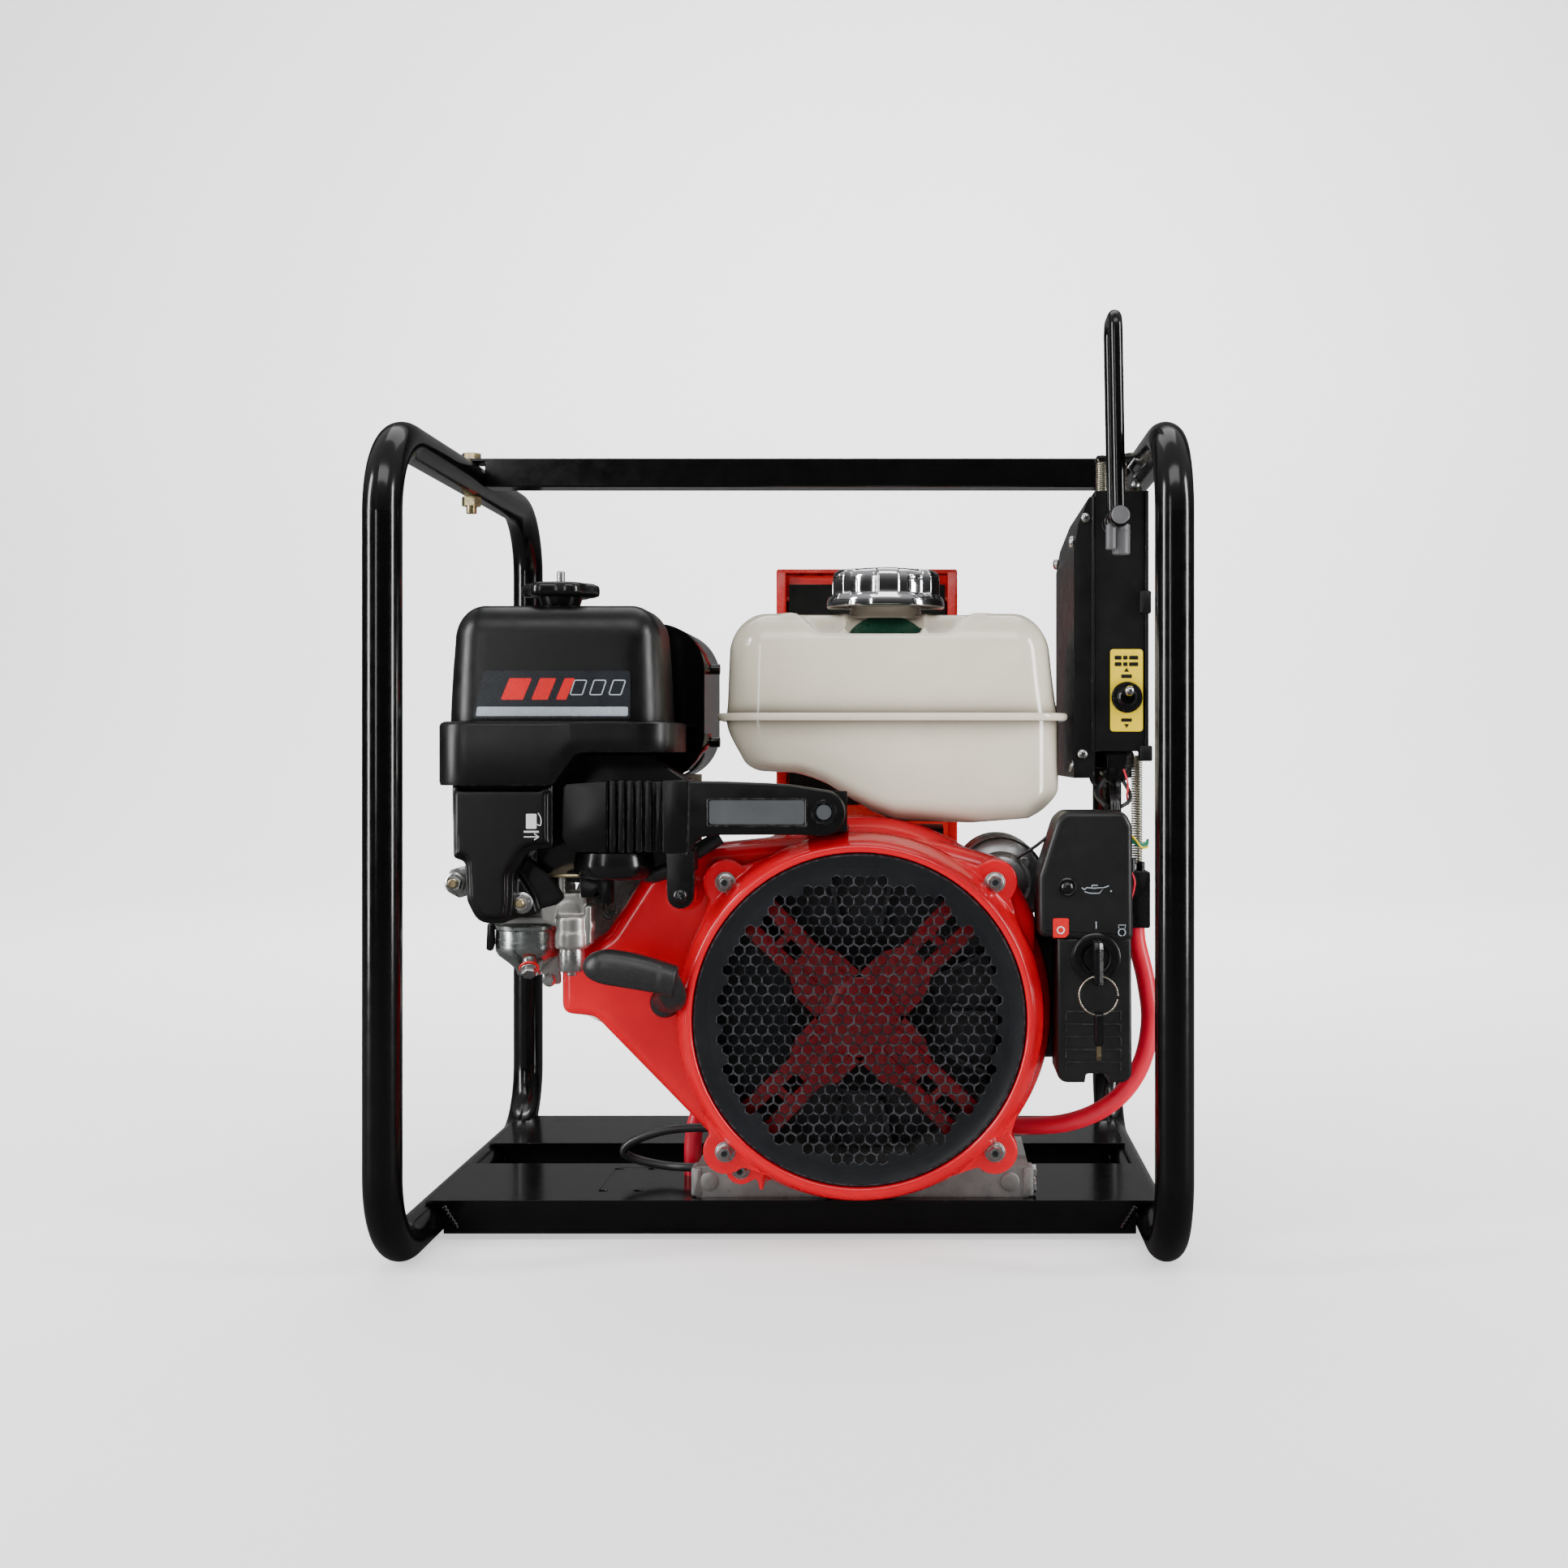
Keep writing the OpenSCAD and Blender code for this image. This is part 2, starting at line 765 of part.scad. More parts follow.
module fuel_valve_lever() {
    color("black") difference() {
        union() {
            y_rod(valve_at[0], valve_at[1], -152, -146.2, 5);
            box([valve_at[0] - 3, -152, valve_at[1]], [valve_at[0] + 3, -149, 262]);
            box([valve_at[0] - 3, -156, 258], [valve_at[0] + 3, -149, 262]);
        }
        y_rod(valve_at[0], valve_at[1], -153, -145, 2 + fit);
    }
}

// ---- exhaust ----

module muffler() {
    color("dimgray") difference() {
        union() {
            difference() {
                along_y(-62, 30) rounded([-186, 326], [-70, 430], 30);
                along_y(-60.5, 28.5) rounded([-184.5, 327.5], [-71.5, 428.5], 28.5);
            }
            y_rod(-150, 390, 29.9, 60, 15);
            z_rod(port[0], port[1], 262, 326.1, 14 - fit);
        }
        z_rod(port[0], port[1], 261, 345, 11.5);
        y_rod(-150, 390, 20, 61, 12.5);
    }
}

module muffler_shield() {
    color("black") {
        difference() {
            along_y(-66, 34) rounded([-190, 322], [-66, 436], 34);
            along_y(-64.8, 35) rounded([-188.8, 323.2], [-67.2, 434.8], 32.8);
            z_rod(port[0], port[1], 315, 345, 16);
        }
        for (z = [350, 405])
            x_rod(-18, z, -69.95, -60, 4);
    }
}

// ---- alternator ----

module alternator_housing() {
    color("gray") difference() {
        y_rod(ex, ez, case_back, bell_front, alt_r);
        y_rod(ex, ez, 4, bell_front + 1, alt_r - 6);
        y_rod(ex, ez, case_back - 1, 5, 40);
    }
}

module stator() {
    color("peru") {
        bearing_ring(36, 124, alt_r - 6, 62);
        bearing_ring(24, 36.1, 82, 64);
        bearing_ring(123.9, 138, 82, 64);
    }
}

module rotor() {
    color("gray") {
        difference() {
            union() {
                y_rod(ex, ez, 38, 122, 61.3);
                y_rod(ex, ez, 8, 18, 60);
                y_rod(ex, ez, 8, 38.1, 20);
            }
            y_rod(ex, ez, 7, 20, 12 + fit);
        }
        y_rod(ex, ez, 121.9, 168, 12.5 - fit);
    }
}

module end_bell() {
    slots = 10;
    color("silver") difference() {
        union() {
            y_rod(ex, ez, bell_front, bell_back - 8, alt_r);
            y_rod(ex, ez, bell_front, bell_back, 40);
        }
        y_rod(ex, ez, bell_front - 1, bell_back - 3, 26);
        for (a = [0 : 360 / slots : 359])
            translate([ex, 0, ez]) rotate([0, a, 0]) box([48, bell_front - 1, -7], [78, bell_back, 7]);
    }
}

module rear_foot() {
    color("black") {
        for (x = [ex - 45, ex + 45]) {
            z_rod(x, 125, deck_top, 50, 18);
            z_rod(x, 125, 16, deck_top + 0.1, 4);
            z_rod(x, 125, 50, 62, 4);
        }
        difference() {
            box([ex - 65, 108, 50], [ex + 65, 142, 90]);
            y_rod(ex, ez, 107, 143, alt_r);
            for (x = [ex - 45, ex + 45])
                box([x - 14, 104, 54], [x + 14, 146, 70]);
        }
    }
}

module generator_cover() {
    x0 = -25;
    x1 = 121;
    color("red") difference() {
        box([x0, 74, 254], [x1, 164, 490]);
        box([x0 + 3, 77, 253], [x1 - 3, 161, 487]);
        box([x0 + 7, 73, 300], [x1 - 7, 78, 466]);
        for (x = [x0 + 10 : 18 : x1 - 18])
            box([x, 73, 484], [x + 12, 90, 491]);
        box([x0 + 12, 160, 320], [x1 - 12, 165, 450]);
    }
}

module outlet_panel() {
    color("dimgray") {
        difference() {
            union() {
                box([-17, 164, 312], [113, 167, 458]);
                for (x = [18, 78])
                    y_rod(x, 400, 166.9, 176, 24);
                y_rod(48, 345, 166.9, 171, 12);
            }
            for (x = [18, 78]) {
                y_rod(x, 400, 168.5, 177, 20);
                for (dx = [-8, 8])
                    y_rod(x + dx, 400, 160, 169, 2.4);
            }
            y_rod(48, 345, 160, 172, 6 + fit);
        }
        y_rod(95, 335, 166.9, 184, 3);
        box([-15, 78, 290], [111, 80, 478]);
    }
}

module breaker_button() {
    color("red") y_rod(48, 345, 162, 175, 6);
}

// ---- controls ----

module control_box() {
    wall = 1.6;
    color("black") difference() {
        box([box_x[0], box_y[0], box_z[0]], [box_x[1], box_y[1], box_z[1]]);
        box([box_x[0] - 1, box_y[0] + wall, box_z[0] + wall],
            [box_x[1] - wall, box_y[1] - wall, box_z[1] - wall]);
        y_rod(toggle_at[0], toggle_at[1], box_y[0] - 1, box_y[0] + 3, 6.1);
        z_rod(231, -88, box_z[0] - 1, box_z[0] + 3, 8.1);
    }
}

module cover_outline(i) {
    polygon([[200 + i, 324], [214.4, 324], [214.4, 523], [211 + i, 523 - i], [203 + i, 503],
        [200 + i, 485]]);
}

module control_box_cover() {
    color("black") {
        difference() {
            along_y(-106, 67) cover_outline(0);
            along_y(-104.5, 65.5) translate([1, 0]) cover_outline(1);
        }
        for (p = [[-96, 492], [-96, 332], [56, 492], [56, 332]])
            x_rod(p[0], p[1], 198.5, 206, 4);
    }
}

module toggle_switch() {
    x = toggle_at[0];
    z = toggle_at[1];
    color("gray") {
        difference() {
            union() {
                y_rod(x, z, box_y[0] - 9, box_y[0] + 2, 6);
                y_rod(x, z, box_y[0] - 4, box_y[0], 10.9);
            }
            y_rod(x, z, box_y[0] - 10, box_y[0], 4.8);
        }
        box([x - 8, box_y[0] + 1.9, z - 12], [x + 8, box_y[0] + 22, z + 12]);
    }
    color("dimgray") difference() {
        union() {
            translate([231, -88, 324]) cylinder(r = 12, h = box_z[0] - 324, $fn = 6);
            z_rod(231, -88, box_z[0] - 0.1, box_z[0] + 8, 8);
        }
        z_rod(231, -88, 320, box_z[0] + 9, 5.6);
    }
}

module toggle_bat() {
    from = [toggle_at[0], box_y[0] - 3, toggle_at[1]];
    tip = from + [0, -17, 4];
    color("silver") {
        rod(from, tip, 1.9);
        translate(tip) sphere(r = 3);
        x_rod(from[1], from[2], from[0] - 3.5, from[0] + 3.5, 2.4);
    }
}

module handle_bracket() {
    x = pivot[0];
    z = pivot[1];
    color("gray") {
        y_rod(x, z, -161, box_y[0], 3);
        y_rod(x, z, -163, -160.9, 6);
        y_rod(x, z, -146, -123, 5);
        y_rod(x, z, -111, box_y[0], 7);
        z_rod(x + 2, -134, 479, z, 5.6);
    }
}

module folding_handle() {
    x = pivot[0];
    z = pivot[1];
    r = handle_d / 2;
    near = -152;
    far = -117;
    top = z + handle_len - r;
    bend = 9;
    color("black") translate([x, 0, z]) rotate([0, -1, 0]) translate([-x, 0, -z]) difference() {
        union() {
            for (y = [near, far]) {
                z_rod(x, y, z, top - bend, r);
                y_rod(x, z, y - 5.5, y + 5.5, 7);
            }
            y_rod(x, top, near + bend, far - bend, r);
            translate([x, near + bend, top - bend]) rotate([90, 0, 90]) rotate([0, 0, 90])
                rotate_extrude(angle = 90) translate([bend, 0]) circle(r = r);
            translate([x, far - bend, top - bend]) rotate([90, 0, 90])
                rotate_extrude(angle = 90) translate([bend, 0]) circle(r = r);
        }
        y_rod(x, z, -165, -105, 3 + fit);
    }
}

module key_outline(i) {
    polygon([[172 + i, 258], [189 + i, 302 - i], [235.5 - i, 302 - i], [235.5 - i, 214 + i],
        [232 - i, 213], [232 - i, 117 + i], [185 + i, 117 + i], [185 + i, 213], [172 + i, 217 + i]]);
}

module key_box() {
    x = key_at[0];
    z = key_at[1];
    color("black") difference() {
        union() {
            difference() {
                along_y(key_front, shell_back) key_outline(0);
                along_y(key_front + 3, shell_back + 1) key_outline(3);
            }
            y_rod(x, z, key_front - 2, key_front + 3, 15.4);
            y_rod(x, z, key_front, key_front + 30, 13);
            y_rod(191, 250, key_front - 2.5, key_front + 6, 6);
        }
        y_rod(x, z, key_front - 3, key_front + 8, 9 + fit);
    }
    color("gray") box([160, shell_back, 125], [232, shell_back + 2.2, 222]);
}

module key_blank(y0, z0, z1, hole_z) {
    x = key_at[0];
    difference() {
        box([x - 1.2, y0, z0], [x + 1.2, y0 + 22, z1]);
        x_rod(key_hole[0], hole_z, x - 2, x + 2, 3.5);
    }
}

module ignition_key() {
    x = key_at[0];
    color("dimgray") {
        y_rod(x, key_at[1], key_front - 3, key_front + 7, 9);
        key_blank(-181, 186, 216, key_hole[1]);
    }
}

module key_ring() {
    ring_r = 13;
    wire_r = 0.9;
    ring_z = key_hole[1] - 1 - ring_r;
    color("silver") {
        translate([key_at[0], key_hole[0], ring_z]) rotate([90, 0, 0])
            rotate_extrude() translate([ring_r, 0]) circle(r = wire_r);
        key_blank(-190, 138, 170, ring_z - ring_r - 1.5);
    }
}

module panel_springs() {
    coil_r = 4.5;
    hook_z = 552;
    color("silver") {
        z_rod(221, -96, box_z[1], hook_z, coil_r);
        z_rod(236, -82, box_z[1], hook_z, coil_r);
        for (y = [-96, -82])
            x_rod(y, hook_z, 219, hx - tube_r, 2);
        z_rod(246.6, -88, relay[1][2], box_z[0], coil_r - 1.5);
    }
}

module red_battery_cable() {
    color("crimson") {
        cable([[245, -95, 218], [246, -95, 206], [252, -96, 180], [255, -97, 152], [250, -97, 124],
            [238, -95, 102], [220, -90, 86], [196, -80, 75], [168, -66, 70], [150, -60, 70],
            [138, -60, 70]], 6.5, 2, [0.2, 1, 0], 12);
        cable([[-38, -34, 92], [-50, -34, 92], [-64, -35, 86], [-74, -36, 72], [-78, -36, 52],
            [-78, -36, deck_top]], 6.5, 2, [0, 1, 0], 12);
    }
}

module earth_cable() {
    color("black")
        cable([[-38, -60, 66], [-48, -60, 66], [-72, -58, 67], [-98, -56, 64], [-120, -54, 56],
            [-127, -52, 48], [-118, -50, 42], [-98, -52, 38], [-80, -58, 38], [-67, -60, 38]],
            3.2, 2, [0, 0.3, 1], 8);
}

module wiring_harness() {
    color("black")
        cable([[231, -88, 324], [231, -89, 317], [230, -98, 311], [228, -114, 311], [227, -125, 309],
            [227, -127, 302]], 4.5, 2, [1, 0, 0], 10);
    color("dimgray") {
        box(relay[0], relay[1]);
        z_rod(relay[0][0] + 4, relay[0][1] + 6, relay[1][2] - 0.1, relay[1][2] + 10, 3);
    }
}

left_hoop();
right_hoop();
base_channels();
lift_bar();
frame_bolts();
crankcase();
crankcase_cover();
main_bearings();
crankshaft();
piston();
piston_pin();
cylinder_head();
rocker_cover();
spark_plug();
oil_filler_cap();
flywheel_fan();
fan_housing();
recoil_housing();
fan_grille();
housing_bolts();
recoil_pulley();
rope_guide();
starter_rope();
starter_grip();
starter_motor();
fuel_tank();
fuel_cap();
tank_brackets();
air_cleaner_base();
air_cleaner_cover();
air_filter();
air_cleaner_knob();
intake_elbow();
intake_arm_cover();
label_plates();
carburettor();
fuel_valve_lever();
muffler();
muffler_shield();
alternator_housing();
stator();
rotor();
end_bell();
rear_foot();
generator_cover();
outlet_panel();
breaker_button();
control_box();
control_box_cover();
toggle_switch();
toggle_bat();
folding_handle();
handle_bracket();
key_box();
ignition_key();
key_ring();
panel_springs();
red_battery_cable();
earth_cable();
wiring_harness();
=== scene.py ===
import math
import random
import bpy
import bmesh
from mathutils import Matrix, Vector


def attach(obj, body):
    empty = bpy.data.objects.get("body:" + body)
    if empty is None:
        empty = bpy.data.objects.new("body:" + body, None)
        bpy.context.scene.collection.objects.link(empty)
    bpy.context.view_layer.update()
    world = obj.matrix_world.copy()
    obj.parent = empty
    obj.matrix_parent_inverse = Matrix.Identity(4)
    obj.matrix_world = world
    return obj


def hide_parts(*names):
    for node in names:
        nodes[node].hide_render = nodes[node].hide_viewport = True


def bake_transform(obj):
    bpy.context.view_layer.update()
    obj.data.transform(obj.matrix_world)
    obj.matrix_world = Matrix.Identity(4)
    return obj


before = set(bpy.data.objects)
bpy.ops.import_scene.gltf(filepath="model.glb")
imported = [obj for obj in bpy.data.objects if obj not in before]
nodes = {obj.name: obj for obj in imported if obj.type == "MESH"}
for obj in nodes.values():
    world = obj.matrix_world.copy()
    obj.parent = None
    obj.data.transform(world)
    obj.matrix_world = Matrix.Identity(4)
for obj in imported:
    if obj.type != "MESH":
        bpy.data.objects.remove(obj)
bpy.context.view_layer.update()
MM = 0.001
FRONT = (0, -1, 0)    # a direction: towards the camera

# stations shared with the CAD part, in millimetres
EX, EZ = 50.5, 161.5                      # crank axis
LUG = 92                                  # the housing lugs' offset from it, in x and in z
GUIDE = Vector((-84.0, -152.0, 170.0))    # mouth of the rope guide
PULL = Vector((-0.14, -0.81, 0.57)).normalized()
KNOB_AT = (-158, -129)                    # air cleaner knob and stud
CAP_AT = (66, -66)                        # filler neck and fuel cap
SWITCH_AT = (210.7, 202.7)                # key switch, x and z


# ---------------------------------------------------------------- materials

def material(name, base, vary=0.12, scale=40, rough=(0.3, 0.45), metallic=0.0, coat=0.0,
             bumps=((900, 0.02),), worn=None, worn_at=0.6, spec=0.5, stretch=None, speck=None,
             sheen=0.0, corners=None):
    """A node material: noise drives colour, roughness and bump; edges wear to another colour; hollows can
    take painted shade.
    """
    m = bpy.data.materials.new(name)
    m.use_nodes = True
    nt = m.node_tree
    nd, ln = nt.nodes, nt.links
    bsdf = nd["Principled BSDF"]
    bsdf.inputs["Metallic"].default_value = metallic
    bsdf.inputs["Coat Weight"].default_value = coat
    bsdf.inputs["Coat Roughness"].default_value = 0.08
    bsdf.inputs["Specular IOR Level"].default_value = spec
    bsdf.inputs["Sheen Weight"].default_value = sheen
    tc = nd.new("ShaderNodeTexCoord")
    at = tc.outputs["Object"]
    if stretch:
        mp = nd.new("ShaderNodeMapping")
        mp.inputs["Scale"].default_value = stretch
        ln.new(at, mp.inputs["Vector"])
        at = mp.outputs["Vector"]

    def noise(s, detail=4.0):
        n = nd.new("ShaderNodeTexNoise")
        n.inputs["Scale"].default_value = s
        n.inputs["Detail"].default_value = detail
        n.inputs["Roughness"].default_value = 0.55
        ln.new(at, n.inputs["Vector"])
        return n.outputs["Fac"]

    def ramp(fac, a, b, lo=0.3, hi=0.7):
        r = nd.new("ShaderNodeValToRGB")
        r.color_ramp.elements[0].position = lo
        r.color_ramp.elements[1].position = hi
        r.color_ramp.elements[0].color = (*a, 1)
        r.color_ramp.elements[1].color = (*b, 1)
        ln.new(fac, r.inputs["Fac"])
        return r.outputs["Color"]

    dark = [c * (1 - vary) for c in base]
    light = [min(1, c * (1 + vary) + 0.0004) for c in base]
    col = ramp(noise(scale), dark, light)

    def mix(fac, a, b):
        x = nd.new("ShaderNodeMix")
        x.data_type = "RGBA"
        ln.new(fac, x.inputs["Factor"])
        ln.new(a, x.inputs["A"])
        x.inputs["B"].default_value = (*b, 1)
        return x.outputs["Result"]

    if speck:
        s_scale, s_col, s_lo = speck
        f = ramp(noise(s_scale, 2.0), (0, 0, 0), (1, 1, 1), s_lo, s_lo + 0.06)
        col = mix(f, col, s_col)
    if corners:
        # painted shade: ambient occlusion darkens the colour in hollows and under overhangs
        ao = nd.new("ShaderNodeAmbientOcclusion")
        ao.samples = 8
        ao.inputs["Distance"].default_value = 0.024
        col = mix(ramp(ao.outputs["AO"], (1, 1, 1), (0, 0, 0), 0.45, 0.9), col, corners)
    if worn:
        bev = nd.new("ShaderNodeBevel")
        bev.samples = 4
        bev.inputs["Radius"].default_value = 0.0012
        geo = nd.new("ShaderNodeNewGeometry")
        dot = nd.new("ShaderNodeVectorMath")
        dot.operation = "DOT_PRODUCT"
        ln.new(bev.outputs["Normal"], dot.inputs[0])
        ln.new(geo.outputs["Normal"], dot.inputs[1])
        edge = ramp(dot.outputs["Value"], (1, 1, 1), (0, 0, 0), 0.88, 0.985)
        patch = ramp(noise(260, 5.0), (0, 0, 0), (1, 1, 1), worn_at, worn_at + 0.12)
        both = nd.new("ShaderNodeMath")
        both.operation = "MULTIPLY"
        ln.new(edge, both.inputs[0])
        ln.new(patch, both.inputs[1])
        col = mix(both.outputs["Value"], col, worn)
    ln.new(col, bsdf.inputs["Base Color"])

    mr = nd.new("ShaderNodeMapRange")
    for key, value in zip(("From Min", "From Max", "To Min", "To Max"), (0.3, 0.7, *rough)):
        mr.inputs[key].default_value = value
    ln.new(noise(scale * 2.7, 5.0), mr.inputs["Value"])
    ln.new(mr.outputs["Result"], bsdf.inputs["Roughness"])

    last = None
    for s, d in bumps:
        b = nd.new("ShaderNodeBump")
        b.inputs["Strength"].default_value = 1.0
        b.inputs["Distance"].default_value = d * MM
        ln.new(noise(s, 3.0), b.inputs["Height"])
        if last:
            ln.new(last, b.inputs["Normal"])
        last = b.outputs["Normal"]
    if last:
        ln.new(last, bsdf.inputs["Normal"])
    return m


M = {}
M["gloss_black"] = material("powder_black_gloss", (0.001, 0.001, 0.0011), rough=(0.12, 0.2), coat=0.1,
                            spec=0.42, bumps=((180, 0.03), (900, 0.008)), worn=(0.16, 0.16, 0.16),
                            worn_at=0.64)
M["satin_black"] = material("sheet_black_satin", (0.005, 0.005, 0.0055), rough=(0.3, 0.42), spec=0.4,
                            bumps=((1400, 0.02),), worn=(0.2, 0.2, 0.2), worn_at=0.62)
M["plastic_black"] = material("moulded_black_textured", (0.0018, 0.0018, 0.002), rough=(0.28, 0.38), spec=0.4,
                              bumps=((1900, 0.05),), worn=(0.045, 0.045, 0.045), worn_at=0.5)
M["plastic_key"] = material("moulded_black_worn", (0.009, 0.009, 0.0095), rough=(0.3, 0.42), spec=0.4,
                            bumps=((1900, 0.05),), worn=(0.06, 0.06, 0.06), worn_at=0.5)
M["plastic_smooth"] = material("moulded_black_gloss", (0.004, 0.004, 0.0045), rough=(0.16, 0.26),
                               bumps=((300, 0.015),), worn=(0.04, 0.04, 0.04))
M["grille_black"] = material("grille_black", (0.007, 0.008, 0.010), rough=(0.3, 0.42), spec=0.4,
                             bumps=((700, 0.02),), worn=(0.09, 0.09, 0.1), worn_at=0.45)
M["rubber"] = material("rubber_black", (0.013, 0.013, 0.014), rough=(0.34, 0.5),
                       bumps=((600, 0.03), (2600, 0.012)), speck=(900, (0.03, 0.03, 0.03), 0.62))
M["red"] = material("enamel_red", (0.56, 0.0, 0.010), vary=0.05, rough=(0.13, 0.2), coat=0.4, spec=0.35,
                    bumps=((120, 0.04), (700, 0.01)), worn=(0.5, 0.03, 0.03), worn_at=0.68)
# a darker copy of the red enamel: painted shade for the spider deep behind the grille
M["red_shaded"] = material("enamel_red_painted_shade", (0.2, 0.0, 0.006), vary=0.08, rough=(0.25, 0.36),
                        bumps=((300, 0.03),))
M["red_box"] = material("paint_red_orange", (0.62, 0.004, 0.003), vary=0.07, rough=(0.22, 0.32), coat=0.3,
                        bumps=((500, 0.02),), worn=(0.4, 0.06, 0.04), worn_at=0.6)
# cream enamel with painted shade in its hollows, in the recess and under the rim and the cap
M["cream"] = material("enamel_cream", (0.80, 0.74, 0.585), vary=0.035, rough=(0.12, 0.2), coat=0.55,
                      corners=(0.24, 0.20, 0.155), bumps=((60, 0.05), (500, 0.01)),
                      worn=(0.45, 0.42, 0.36), worn_at=0.66)
M["chrome"] = material("chrome_bright", (0.72, 0.72, 0.74), vary=0.05, rough=(0.05, 0.11), metallic=1.0,
                       bumps=((200, 0.01),), speck=(1300, (0.4, 0.4, 0.4), 0.68))
M["zinc"] = material("zinc_plate", (0.60, 0.60, 0.59), vary=0.14, scale=120, rough=(0.22, 0.36), metallic=1.0,
                     bumps=((900, 0.015),), worn=(0.35, 0.34, 0.33))
M["yellow_zinc"] = material("zinc_plate_yellow", (0.62, 0.52, 0.27), vary=0.2, scale=140, rough=(0.24, 0.38),
                            metallic=1.0, bumps=((900, 0.015),), speck=(300, (0.5, 0.35, 0.4), 0.6))
M["brass"] = material("stud_brass", (0.62, 0.50, 0.30), vary=0.15, scale=160, rough=(0.25, 0.4), metallic=1.0)
M["cast"] = material("cast_aluminium", (0.40, 0.395, 0.385), vary=0.16, scale=70, rough=(0.38, 0.55),
                     metallic=0.85, bumps=((450, 0.10), (1500, 0.04)), worn=(0.75, 0.75, 0.74),
                     speck=(420, (0.28, 0.28, 0.28), 0.66))
M["cast_fine"] = material("die_cast_zinc", (0.50, 0.485, 0.46), vary=0.12, scale=90, rough=(0.3, 0.44),
                          metallic=0.9, bumps=((1300, 0.03),), worn=(0.8, 0.79, 0.78))
M["bowl"] = material("bowl_zinc", (0.52, 0.56, 0.54), vary=0.2, scale=60, rough=(0.18, 0.3), metallic=1.0,
                     bumps=((500, 0.02),), stretch=(1, 1, 3))
M["steel"] = material("machined_steel", (0.42, 0.42, 0.42), vary=0.12, scale=90, rough=(0.22, 0.38),
                      metallic=1.0, bumps=((1200, 0.01),), stretch=(1, 6, 1))
M["exhaust"] = material("exhaust_steel", (0.30, 0.28, 0.26), vary=0.25, scale=50, rough=(0.4, 0.6),
                        metallic=0.9, bumps=((400, 0.03),), speck=(160, (0.32, 0.2, 0.12), 0.6))
M["grey"] = material("paint_grey", (0.10, 0.10, 0.105), rough=(0.35, 0.48), bumps=((900, 0.03),),
                     worn=(0.4, 0.4, 0.4))
M["shell_grey"] = material("starter_shell", (0.30, 0.30, 0.31), vary=0.15, rough=(0.25, 0.38), metallic=0.9,
                           bumps=((500, 0.02),), worn=(0.6, 0.6, 0.6))
M["iron"] = material("laminations", (0.20, 0.17, 0.15), vary=0.25, scale=90, rough=(0.45, 0.6),
                     metallic=0.6, bumps=((1, 0.1), (700, 0.05)), stretch=(1, 40, 1))
M["fan"] = material("fan_casting", (0.055, 0.055, 0.058), vary=0.2, rough=(0.4, 0.55), metallic=0.5,
                    bumps=((600, 0.05),), worn=(0.3, 0.3, 0.3))
M["ceramic"] = material("ceramic_white", (0.78, 0.77, 0.73), vary=0.03, rough=(0.08, 0.16))
M["yellow"] = material("label_yellow", (0.86, 0.62, 0.01), vary=0.04, rough=(0.22, 0.3),
                       bumps=((700, 0.01),))
M["label_black"] = material("label_print_black", (0.01, 0.01, 0.01), rough=(0.25, 0.35))
M["label_dark"] = material("label_panel_dark", (0.010, 0.012, 0.016), rough=(0.24, 0.32))
M["label_pale"] = material("label_stripe_pale", (0.34, 0.38, 0.42), vary=0.05, rough=(0.24, 0.32))
M["label_red"] = material("label_bar_red", (0.62, 0.005, 0.008), vary=0.05, rough=(0.24, 0.32))
M["label_white"] = material("label_print_white", (0.72, 0.72, 0.72), vary=0.03, rough=(0.3, 0.4))
M["label_green"] = material("label_green", (0.004, 0.035, 0.02), vary=0.08, rough=(0.25, 0.35))
M["badge"] = material("badge_plate", (0.08, 0.085, 0.09), rough=(0.26, 0.36), metallic=0.3)
M["foam"] = material("filter_foam", (0.62, 0.30, 0.10), vary=0.25, scale=200, rough=(0.7, 0.85),
                     bumps=((900, 0.6),), sheen=0.4)
M["rope"] = material("braided_rope", (0.62, 0.61, 0.57), vary=0.2, scale=700, rough=(0.6, 0.75),
                     bumps=((900, 0.3),), sheen=0.5, speck=(500, (0.2, 0.2, 0.22), 0.6))
M["cable_red"] = material("sheath_red", (0.70, 0.002, 0.030), vary=0.1, rough=(0.28, 0.4),
                          bumps=((300, 0.03),))
M["cable_black"] = material("sheath_black", (0.012, 0.012, 0.013), rough=(0.3, 0.45), bumps=((300, 0.03),))
M["wire_green"] = material("wire_green", (0.01, 0.20, 0.10), rough=(0.3, 0.4))
M["spring"] = material("spring_wire", (0.56, 0.52, 0.42), vary=0.12, scale=200, rough=(0.22, 0.34),
                       metallic=1.0)
# a near black for pieces that stand for painted shade in hollows
M["dark"] = material("painted_shade_black", (0.005, 0.006, 0.008), rough=(0.5, 0.6))


# ---------------------------------------------------------------- mesh tools

def lift(outline, plane, h):
    """2-D points to 3-D: plane 'y' takes (x, z), 'x' takes (y, z), 'z' takes (x, y)."""
    if plane == "y":
        return [(a, h, b) for a, b in outline]
    if plane == "x":
        return [(h, a, b) for a, b in outline]
    return [(a, b, h) for a, b in outline]


def turned(axis):
    if isinstance(axis, str):
        axis = {"x": (1, 0, 0), "y": (0, 1, 0), "z": (0, 0, 1)}[axis]
    return Vector((0, 0, 1)).rotation_difference(Vector(axis).normalized()).to_matrix()


def polar(r, degrees):
    a = math.radians(degrees)
    return Vector((r * math.cos(a), r * math.sin(a)))


def quarter(n):
    """Sine and cosine at n + 1 equal steps of a right angle."""
    return [(math.sin(math.pi / 2 * i / n), math.cos(math.pi / 2 * i / n)) for i in range(n + 1)]


def arc(cx, cy, r, a0, a1, n=6):
    return [(cx + r * math.cos(math.radians(a0 + (a1 - a0) * i / n)),
             cy + r * math.sin(math.radians(a0 + (a1 - a0) * i / n))) for i in range(n + 1)]


